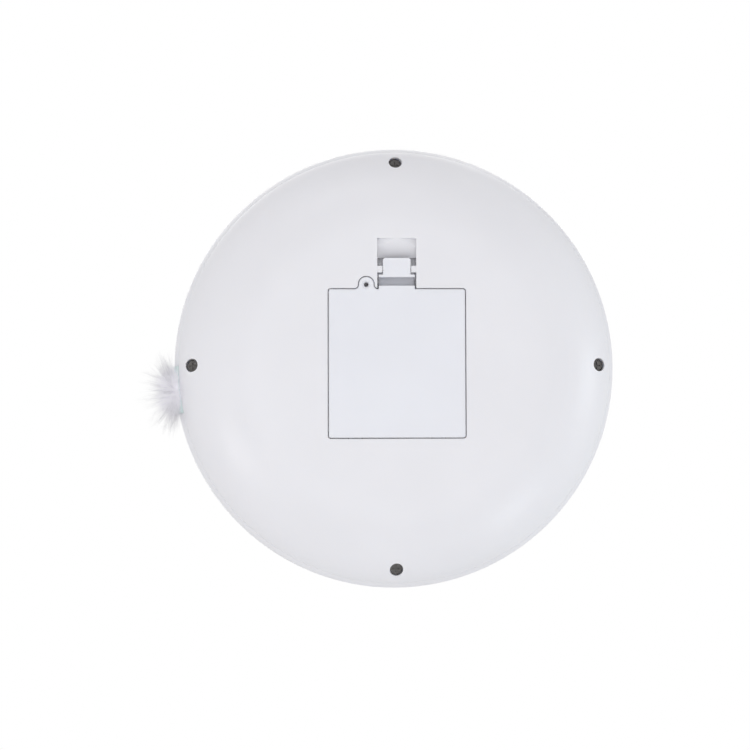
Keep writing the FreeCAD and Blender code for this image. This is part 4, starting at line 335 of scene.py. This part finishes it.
def metalLook(colour, roughness, **changes):
    # what the metals share, with the changes of one finish
    look = {"colour": colour, "roughness": roughness, "drift": 0.06, "lineWay": (1.0, 1.0, 0.06),
            "lineSize": 0.0004, "lineDepth": 0.000004, "cloudSize": 0.006, "pitSize": 0.0009,
            "pitDepth": 0.000008, "pitStrength": 0.6, "spread": 0.05}
    look.update(changes)
    return look


def clearLook(colour, roughness, clear, ior, **changes):
    # what the see-through plastics share, with the changes of one finish
    look = {"colour": colour, "roughness": roughness, "clear": clear, "ior": ior, "flowWay": (0.3, 0.3, 1.0),
            "flowTone": 0.94, "hazeLeast": 0.6, "hazeMost": 1.6}
    look.update(changes)
    return look


shellWhite = (0.800, 0.797, 0.822)
mintTone = (0.66, 0.79, 0.77)

finishes = {
    "shell": mouldedPlastic("satinWhiteShell", plasticLook(shellWhite, 0.34, ior=1.44, depthGlow=0.5)),
    # the door's colour has painted shade: from 1.8 mm to 3.0 mm up it darkens to 0.86 of its own, where the
    # latch's bend lies in shade
    "door": mouldedPlastic("satinWhiteDoor", plasticLook(
        (0.795, 0.802, 0.842), 0.33, ior=1.44, depthGlow=0.5, deepTone=0.86, deepFrom=0.0018, deepTo=0.0030)),
    "grommet": mouldedPlastic("mintLiner", plasticLook(mintTone, 0.38)),
    "cell": wrappedCell("plainCellWrap", {
        "wrap": (0.06, 0.065, 0.075), "steel": (0.62, 0.61, 0.58), "wrapHalf": 0.0272, "wrapEdge": 0.0002,
        "creaseSize": 0.0015, "creaseWay": (1.0, 0.3, 0.3), "creaseDepth": 0.00003, "scuffSize": 0.004,
        "drift": 0.15, "roughness": 0.32, "glossLess": 0.08, "glossMore": 0.1}),
    "contact": platedMetal("nickelSheet", metalLook((0.68, 0.66, 0.60), 0.30, lineWay=(1.0, 0.08, 1.0))),
    "spring": platedMetal("springWire", metalLook((0.66, 0.65, 0.62), 0.26, lineWay=(0.1, 1.0, 1.0))),
    "screw": platedMetal("darkScrew", metalLook((0.13, 0.125, 0.12), 0.42, lineWay=(1.0, 1.0, 1.0),
                                                drift=0.2)),
    "frame": mouldedPlastic("greyFramePlastic", plasticLook((0.30, 0.31, 0.33), 0.48, grainDepth=0.00001)),
    "washer": mouldedPlastic("slipperyWasher", plasticLook((0.78, 0.76, 0.66), 0.40)),
    "motor": platedMetal("motorCan", metalLook((0.52, 0.52, 0.53), 0.34, lineWay=(0.05, 0.05, 1.0))),
    "shaft": platedMetal("groundShaft", metalLook((0.70, 0.70, 0.71), 0.18, lineWay=(0.05, 0.05, 1.0))),
    "gear": mouldedPlastic("naturalAcetal", plasticLook((0.80, 0.78, 0.70), 0.36, depthGlow=0.2)),
    "arm": mouldedPlastic("mintAcetal", plasticLook((0.46, 0.66, 0.61), 0.36)),
    "fur": mouldedPlastic("furCore", plasticLook((0.75, 0.75, 0.77), 0.9)),
    "turret": mouldedPlastic("mintTurret", plasticLook((0.60, 0.77, 0.73), 0.24, coat=0.3,
                                                       coatRoughness=0.08)),
    "window": clearPlastic("smokedWindow", clearLook((0.30, 0.33, 0.34), 0.06, 0.85, 1.49, flowSize=0.01,
                                                     flowDepth=0.00002, hazeSize=0.004)),
    "cradle": mouldedPlastic("blackCradle", plasticLook((0.022, 0.022, 0.024), 0.45, drift=0.1)),
    "mirror": silvered("frontSilvered", {
        "colour": (0.90, 0.92, 0.92), "roughness": 0.03, "wipeSize": 0.002, "wipeWay": (0.15, 1.0, 1.0),
        "wipeLeast": 0.5, "wipeMost": 2.0, "speckSize": 0.0008, "speckTone": 0.93, "speckDepth": 0.000001}),
    "laser": platedMetal("turnedBrass", metalLook((0.72, 0.50, 0.20), 0.24, lineWay=(0.05, 0.05, 1.0))),
    "lens": clearPlastic("moduleLens", clearLook((0.86, 0.50, 0.50), 0.02, 0.95, 1.52, flowSize=0.004,
                                                 flowDepth=0.000004, hazeSize=0.002)),
    "board": circuitBoard("greenBoard", {
        "mask": (0.012, 0.115, 0.045), "maskTone": 0.86, "track": (0.03, 0.22, 0.08), "trackPitch": 0.006,
        "trackShare": 0.09, "trackSmooth": 0.15, "trackDepth": 0.00004, "weaveSize": 0.0005,
        "weaveDepth": 0.000008, "weaveStrength": 0.5, "roughness": 0.30, "glossLess": 0.06,
        "glossMore": 0.08, "coat": 0.4}),
    "chip": mouldedPlastic("chipPackage", plasticLook((0.020, 0.020, 0.022), 0.62, grainSize=0.0002,
                                                      grainDepth=0.00001, drift=0.08)),
    "capacitor": platedMetal("capacitorSleeve", metalLook((0.10, 0.12, 0.22), 0.35,
                                                          lineWay=(1.0, 1.0, 0.1))),
    "switch": mouldedPlastic("switchBody", plasticLook((0.025, 0.025, 0.027), 0.5, drift=0.08)),
    "plunger": mouldedPlastic("plungerPlastic", plasticLook((0.42, 0.035, 0.025), 0.42)),
    "led": clearPlastic("ledEpoxy", clearLook((0.92, 0.88, 0.66), 0.12, 0.35, 1.52, flowSize=0.002,
                                              flowDepth=0.00001, hazeSize=0.0008)),
    "button": mouldedPlastic("mintButton", plasticLook((0.46, 0.68, 0.63), 0.34, grainDepth=0.00001)),
    "pipe": clearPlastic("lightPipeAcrylic", clearLook((0.93, 0.95, 0.95), 0.10, 0.9, 1.49, flowSize=0.003,
                                                       flowDepth=0.00001, hazeSize=0.001)),
    "red_wire": mouldedPlastic("redInsulation", plasticLook((0.48, 0.016, 0.012), 0.42, grainSize=0.0004)),
    "black_wire": mouldedPlastic("blackInsulation", plasticLook((0.016, 0.016, 0.018), 0.42,
                                                                grainSize=0.0004)),
}

slotOf = {entry["node"]: entry["material_slot"] for entry in frame["record"]["subparts"]}
smoothAngle = math.radians(24.0)
weldReach = 0.000002
for nodeName, cadObject in cadNodes.items():
    finish = finishes[slotOf[nodeName]]
    if not cadObject.material_slots:
        cadObject.data.materials.append(finish)
    for slot in cadObject.material_slots:
        slot.material = finish
    cadObject.data.polygons.foreach_set("use_smooth", np.ones(len(cadObject.data.polygons), dtype=bool))
    weld = cadObject.modifiers.new("weldSeams", "WELD")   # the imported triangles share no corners
    weld.merge_threshold = weldReach
    split = cadObject.modifiers.new("crispEdges", "EDGE_SPLIT")
    split.split_angle = smoothAngle
print("finishes on", len(cadNodes), "nodes")


def unit(vectors):
    return vectors / np.linalg.norm(vectors, axis=-1, keepdims=True)


def strandSheaf(name, look, body):
    # each strand is an arc: its angle from the plume's axis grows evenly from bend * lean at the root to
    # lean at the tip, so its point at t is length * t * (sin(b) - sin(a)) / (b - a) from the root along the
    # axis and length * t * (cos(a) - cos(b)) / (b - a) across it, a and b being its angles at 0 and t;
    # then it is pulled by clump * t squared, times leastPull to 1 at random, to its clump's guide strand,
    # and strays by stray * its length * t squared;
    # away from the slot it is kept outside the shell, at the rim's radius for its height plus lie;
    # its three-sided section shrinks as (1 - t) to the power taper
    rng = np.random.default_rng(look["seed"])
    turn = math.radians(look["angle"])
    axis = np.array([math.cos(turn), math.sin(turn), 0.0])
    side = np.array([-math.sin(turn), math.cos(turn), 0.0])
    up = np.array([0.0, 0.0, 1.0])
    count = look["strands"]
    guides = look["guides"]
    segments = look["segments"]
    facets = 3
    along = np.linspace(0.0, 1.0, segments + 1)
    least = 0.001      # smallest lean, in radians
    tiny = 0.000001    # keeps a straight strand from dividing by nothing

    def drawn(number):
        spin = rng.random(number) * 2.0 * math.pi
        widest = math.radians(look["lean"]) * (1.0 - look["upperLess"] * np.clip(np.sin(spin), 0.0, 1.0)
                                               + look["lowerMore"] * np.clip(-np.sin(spin), 0.0, 1.0))
        widest = widest * (1.0 - look["sideTrim"] * np.clip(-np.cos(spin), 0.0, 1.0))
        lean = np.arccos(1.0 - rng.random(number) ** look["crowd"] * (1.0 - np.cos(widest))) + least
        across = np.cos(spin)[:, None] * side + np.sin(spin)[:, None] * up
        share = np.sin(lean)[:, None]
        start = (axis * (look["root"] + rng.random(number)[:, None] * look["stagger"]) + up * look["height"]
                 + side * look["shift"] + share * (np.cos(spin)[:, None] * side * look["mouthWide"]
                            + np.sin(spin)[:, None] * up * look["mouthTall"]))
        length = look["length"] * (1.0 - look["sideLess"] * np.sin(lean) ** 2)
        length = length * (1.0 - look["upLess"] * np.abs(np.sin(spin)) * np.sin(lean))
        length = length * (1.0 - look["lengthSpread"] * rng.random(number) ** look["lengthCrowd"])
        return start, across, lean, length

    def line(start, across, lean, length):
        low = (lean * look["bend"])[:, None]
        high = low + (lean[:, None] - low) * along[None, :]
        swing = np.maximum(high - low, tiny)
        forth = np.where(along[None, :] > 0.0, (np.sin(high) - np.sin(low)) / swing, 0.0)
        away = np.where(along[None, :] > 0.0, (np.cos(low) - np.cos(high)) / swing, 0.0)
        reach = length[:, None] * along[None, :]
        return (start[:, None, :] + axis * (forth * reach)[:, :, None]
                + across[:, None, :] * (away * reach)[:, :, None]
                - up * (look["fall"] * reach * along[None, :])[:, :, None])

    own = drawn(count)
    guide = drawn(guides)
    path = line(*own)
    leaders = line(*guide)
    heading = unit(path[:, -1] - path[:, 0])
    leading = unit(leaders[:, -1] - leaders[:, 0])
    nearest = np.argmax(heading @ leading.T + rng.normal(scale=look["mixing"], size=(count, guides)), axis=1)
    square = (along ** 2)[None, :, None]
    share = look["leastPull"] + (1.0 - look["leastPull"]) * rng.random((count, 1, 1))
    pull = look["clump"] * square * share
    reachShare = (own[3] / guide[3][nearest])[:, None, None]
    lead = leaders[nearest][:, :1] + (leaders[nearest] - leaders[nearest][:, :1]) * reachShare
    path = path * (1.0 - pull) + lead * pull
    astray = look["stray"] * own[3][:, None, None] * square
    path = path + unit(rng.normal(size=(count, 3)))[:, None, :] * astray

    beside = np.abs(path @ side) - look["slotHalf"]
    above = np.abs(path[..., 2] - look["height"]) - look["slotTall"]
    outside = np.clip(np.maximum(beside, above) / look["edge"], 0.0, 1.0)
    reached = np.hypot(path[..., 0], path[..., 1])
    allowed = np.interp(path[..., 2], look["rimHeights"], look["rimRadii"]) + look["lie"]
    pushed = 1.0 + outside * (np.maximum(allowed / reached, 1.0) - 1.0)
    path[..., :2] = path[..., :2] * pushed[..., None]

    first = unit(np.cross(heading, unit(rng.normal(size=(count, 3)))))
    second = np.cross(heading, first)
    corner = np.arange(facets) * 2.0 * math.pi / facets
    section = (first[:, None, :] * np.cos(corner)[None, :, None]
               + second[:, None, :] * np.sin(corner)[None, :, None])
    girth = look["thickness"] / 2.0 * (look["thinnest"] + look["thickMore"] * rng.random(count))
    radius = girth[:, None] * (1.0 - along[None, :-1]) ** look["taper"]
    rings = path[:, :-1, None, :] + section[:, None, :, :] * radius[:, :, None, None]
    perStrand = segments * facets + 1
    points = np.concatenate([rings.reshape(count, segments * facets, 3), path[:, -1:, :]], axis=1)

    ring = np.arange(segments - 1)[:, None] * facets
    near = np.arange(facets)[None, :]
    far = (near + 1) % facets
    after = ring + facets
    sides = np.stack([ring + near, ring + far, after + far, after + near], axis=-1).reshape(-1, 4)
    lastRing = (segments - 1) * facets
    tips = np.array([[lastRing + a, lastRing + (a + 1) % facets, segments * facets] for a in range(facets)])
    closing = np.array([[2, 1, 0]])    # the root end
    shift = np.arange(count)[:, None, None] * perStrand
    allSides = (sides[None] + shift).reshape(-1, 4)
    allTips = (np.concatenate([tips, closing])[None] + shift).reshape(-1, 3)
    corners = np.concatenate([allSides.ravel(), allTips.ravel()]).astype(np.int32)
    sizes = np.concatenate([np.full(len(allSides), 4), np.full(len(allTips), 3)]).astype(np.int32)

    mesh = bpy.data.meshes.new(name)
    mesh.vertices.add(count * perStrand)
    mesh.vertices.foreach_set("co", points.reshape(-1, 3).astype(np.float32).ravel())
    mesh.loops.add(len(corners))
    mesh.loops.foreach_set("vertex_index", corners)
    mesh.polygons.add(len(sizes))
    mesh.polygons.foreach_set("loop_start", (np.cumsum(sizes) - sizes).astype(np.int32))
    mesh.polygons.foreach_set("use_smooth", np.ones(len(sizes), dtype=bool))
    mesh.update(calc_edges=True)

    level = np.concatenate([np.repeat(along[:-1], facets), [1.0]])
    tone = mesh.attributes.new("strandTone", "FLOAT", "POINT")
    tone.data.foreach_set("value", np.repeat(rng.random(count), perStrand).astype(np.float32))
    mapped = mesh.uv_layers.new(name="strandMap")
    height = np.tile(level, count)[corners]
    across = np.repeat((np.arange(count) + 0.5) / count, perStrand)[corners]
    mapped.data.foreach_set("uv", np.stack([across, height], axis=-1).astype(np.float32).ravel())
    mesh.validate()
    item = bpy.data.objects.new(name, mesh)
    bpy.context.scene.collection.objects.link(item)
    item.data.materials.append(strandFibre(name + "Fibre", look["fibre"]))
    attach(item, body)
    print(name, "made with", count, "strands,", len(allSides) * 2 + len(allTips), "triangles")
    return item


underFibre = {"root": (0.885, 0.88, 0.90), "tip": (0.86, 0.855, 0.88), "ownTone": 0.25, "rootTone": 0.25,
              "tipTone": 0.75, "roughness": 0.7, "spread": 0.1, "shine": 0.3, "glow": 0.4, "scatter": 0.46,
              "tipScatter": 0.33, "scatterEnd": 0.8, "scaleSize": 0.0003, "scaleDepth": 0.00001}
longFibre = dict(underFibre, tip=(0.77, 0.765, 0.78), scatter=0.50, tipScatter=0.04)
# heights and radii of the rim that the hair lies on, and the slot that it comes out of
rimShape = {"slotHalf": 0.0086, "slotTall": 0.0038, "edge": 0.0020, "lie": 0.0004,
            "rimHeights": (0.013, 0.017, 0.021, 0.025, 0.028, 0.030, 0.032, 0.034, 0.036,
                           0.039, 0.042, 0.046, 0.049, 0.051, 0.053, 0.055, 0.057),
            "rimRadii": (0.0927, 0.0957, 0.0983, 0.1003, 0.1013, 0.1022, 0.1032, 0.1040, 0.1046,
                         0.1050, 0.1052, 0.1047, 0.1034, 0.1024, 0.1012, 0.0983, 0.0949)}
plumeShape = dict(rimShape, angle=-6.0, height=0.0362, mouthWide=0.0030, mouthTall=0.0022, mixing=0.01,
                  leastPull=0.5, thinnest=0.7, thickMore=0.6)
plumeUnder = {"seed": 11, "strands": 7000, "guides": 520, "segments": 5, "lean": 107.0,
              "upperLess": 0.16, "lowerMore": 0.32, "sideTrim": 0.04, "crowd": 0.72, "bend": 0.62,
              "root": 0.1012, "stagger": 0.0035, "shift": -0.0004, "length": 0.0154, "sideLess": 0.30,
              "upLess": 0.05, "lengthSpread": 0.42, "lengthCrowd": 0.9, "fall": 0.03, "clump": 0.40,
              "stray": 0.12, "thickness": 0.00010, "taper": 0.6, "fibre": underFibre, **plumeShape}
plumeLong = {"seed": 23, "strands": 1500, "guides": 105, "segments": 8, "lean": 97.0,
             "upperLess": 0.15, "lowerMore": 0.10, "sideTrim": -0.06, "crowd": 0.62, "bend": 0.70,
             "root": 0.1016, "stagger": 0.0030, "shift": -0.0010, "length": 0.0225, "sideLess": 0.12,
             "upLess": 0.20, "lengthSpread": 0.55, "lengthCrowd": 1.2, "fall": 0.05, "clump": 0.90,
             "stray": 0.06, "thickness": 0.00013, "taper": 0.7, "fibre": longFibre, **plumeShape}
underfur = strandSheaf("plumeUnderfur", plumeUnder, "wag")
strandSheaf("plumeLongHairs", plumeLong, "wag")
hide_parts("plume")


floorLook = {"size": 6.0, "height": -0.0004, "colour": (0.86, 0.86, 0.87), "drift": 0.01, "dullLeast": 0.75,
             "dullMost": 0.85, "shine": 0.1, "clearFrom": 0.9, "clearTo": 2.4, "grainSize": 0.02,
             "grainDepth": 0.0001, "grainStrength": 0.3}


def studioFloor(look):
    # a plane seen only from above and only by the camera; it fades out with the distance from the middle
    half = look["size"] / 2.0
    corners = np.array([[-half, -half], [half, -half], [half, half], [-half, half]])
    mesh = bpy.data.meshes.new("studioFloor")
    mesh.from_pydata([(x, y, look["height"]) for x, y in corners.tolist()], [], [(0, 1, 2, 3)])
    item = bpy.data.objects.new("studioFloor", mesh)
    bpy.context.scene.collection.objects.link(item)
    material, tree, shader, place = freshMaterial("paleFloor")
    grain = noise(tree, place, 1.0 / look["grainSize"], 3.0)
    tree.links.new(drifted(tree, grain, look), shader.inputs["Base Color"])
    glossed(tree, shader, grain, look["dullLeast"], look["dullMost"])
    raised(tree, shader, grain, look["grainDepth"], look["grainStrength"])
    shader.inputs["Specular IOR Level"].default_value = look["shine"]
    away = tree.nodes.new("ShaderNodeVectorMath")
    away.operation = "LENGTH"
    tree.links.new(place, away.inputs[0])
    faded = spanned(tree, away.outputs["Value"], 0.0, 1.0, look["clearFrom"], look["clearTo"])
    path = tree.nodes.new("ShaderNodeLightPath")
    facing = tree.nodes.new("ShaderNodeNewGeometry")
    unseen = joined(tree, "SUBTRACT", 1.0, path.outputs["Is Camera Ray"])
    unseen = joined(tree, "MAXIMUM", unseen, facing.outputs["Backfacing"])
    unseen = joined(tree, "MAXIMUM", unseen, faded)
    clear = tree.nodes.new("ShaderNodeBsdfTransparent")
    mix = tree.nodes.new("ShaderNodeMixShader")
    output = [node for node in tree.nodes if node.type == "OUTPUT_MATERIAL"][0]
    tree.links.new(unseen, mix.inputs["Fac"])
    tree.links.new(shader.outputs["BSDF"], mix.inputs[1])
    tree.links.new(clear.outputs["BSDF"], mix.inputs[2])
    tree.links.new(mix.outputs["Shader"], output.inputs["Surface"])
    item.data.materials.append(material)


studioFloor(floorLook)

worldLook = {"background": (1.0, 1.0, 1.0), "fill": (0.985, 0.985, 1.0), "fillLevel": 0.76}
world = bpy.data.worlds.new("studioWorld")
bpy.context.scene.world = world
world.use_nodes = True
worldTree = world.node_tree
worldTree.nodes.clear()
worldOut = worldTree.nodes.new("ShaderNodeOutputWorld")
seen = worldTree.nodes.new("ShaderNodeBackground")
seen.inputs["Color"].default_value = (*worldLook["background"], 1.0)
seen.inputs["Strength"].default_value = 1.0
fill = worldTree.nodes.new("ShaderNodeBackground")
fill.inputs["Color"].default_value = (*worldLook["fill"], 1.0)
fill.inputs["Strength"].default_value = worldLook["fillLevel"]
rays = worldTree.nodes.new("ShaderNodeLightPath")
anySeen = joined(worldTree, "MAXIMUM", rays.outputs["Is Camera Ray"], rays.outputs["Is Transmission Ray"])
worldMix = worldTree.nodes.new("ShaderNodeMixShader")
worldTree.links.new(anySeen, worldMix.inputs["Fac"])
worldTree.links.new(fill.outputs["Background"], worldMix.inputs[1])
worldTree.links.new(seen.outputs["Background"], worldMix.inputs[2])
worldTree.links.new(worldMix.outputs["Shader"], worldOut.inputs["Surface"])

# azimuth from +X towards +Y, height above the horizon, both in degrees; level is the lamp's own brightness
lamps = {
    "softboxFront": {"azimuth": 270.0, "height": -82.0, "away": 1.05, "size": (0.9, 0.9), "level": 0.90,
                     "tint": (0.99, 0.99, 1.0)},
    "softboxLowLeft": {"azimuth": -25.0, "height": -27.0, "away": 0.75, "size": (0.20, 0.32), "level": 2.65,
                       "tint": (1.0, 1.0, 1.0)},
    "softboxLowRight": {"azimuth": 182.0, "height": -4.0, "away": 0.75, "size": (0.22, 0.34), "level": 2.6,
                        "tint": (0.88, 0.96, 1.0)},
    "softboxBelow": {"azimuth": 227.0, "height": -18.0, "away": 0.75, "size": (0.20, 0.26), "level": 2.4,
                     "tint": (0.84, 0.94, 1.0)},
    "softboxFar": {"azimuth": 75.0, "height": -22.0, "away": 0.95, "size": (0.50, 0.34), "level": 0.95,
                   "tint": (1.0, 0.995, 0.99)},
    "softboxAbove": {"azimuth": 80.0, "height": 76.0, "away": 1.4, "size": (1.2, 1.2), "level": 0.75,
                     "tint": (1.0, 0.995, 0.985)},
}
# the lamps below light the pieces only, because one of them reaches above the floor
lowLit = bpy.data.collections.new("lowLit")
for piece in bpy.data.objects:
    if piece.type == "MESH" and piece.name != "studioFloor":
        lowLit.objects.link(piece)
aimHeight = 0.03
target = Vector((0.0, 0.0, aimHeight))
for lampName, lamp in lamps.items():
    light = bpy.data.lights.new(lampName, "AREA")
    light.shape = "RECTANGLE"
    light.size, light.size_y = lamp["size"]
    light.energy = math.pi * lamp["size"][0] * lamp["size"][1] * lamp["level"]
    light.color = lamp["tint"]
    holder = bpy.data.objects.new(lampName, light)
    bpy.context.scene.collection.objects.link(holder)
    azimuth = math.radians(lamp["azimuth"])
    height = math.radians(lamp["height"])
    level = math.cos(height)
    way = Vector((math.cos(azimuth) * level, math.sin(azimuth) * level, math.sin(height)))
    holder.location = target + way * lamp["away"]
    holder.rotation_mode = "QUATERNION"
    holder.rotation_quaternion = (-way).to_track_quat("-Z", "Y")
    if lamp["height"] < 0.0:
        holder.light_linking.receiver_collection = lowLit
print("lamps set:", len(lamps))

# columns of the camera's pose: the picture's right, its top, the way back to the lens, and the lens's place
cameraLook = {"lens": 77.094, "sensor": 36.0, "near": 0.02, "far": 50.0,
              "right": (-0.99973993, -0.00270472, -0.02264413), "top": (-0.00171862, 0.99905392, -0.04345465),
              "back": (0.02274024, -0.04340443, -0.99879875),
              "at": (0.02662644, -0.03694534, -0.72780166)}
camera = bpy.data.objects.new("camera", bpy.data.cameras.new("camera"))
bpy.context.scene.collection.objects.link(camera)
camera.data.lens = cameraLook["lens"]
camera.data.sensor_width = cameraLook["sensor"]
camera.data.clip_start = cameraLook["near"]
camera.data.clip_end = cameraLook["far"]
pose = Matrix.Identity(4)
for column, key in enumerate(("right", "top", "back", "at")):
    for row in range(3):
        pose[row][column] = cameraLook[key][row]
camera.matrix_world = pose
bpy.context.scene.camera = camera

bpy.context.scene.view_settings.view_transform = "Standard"
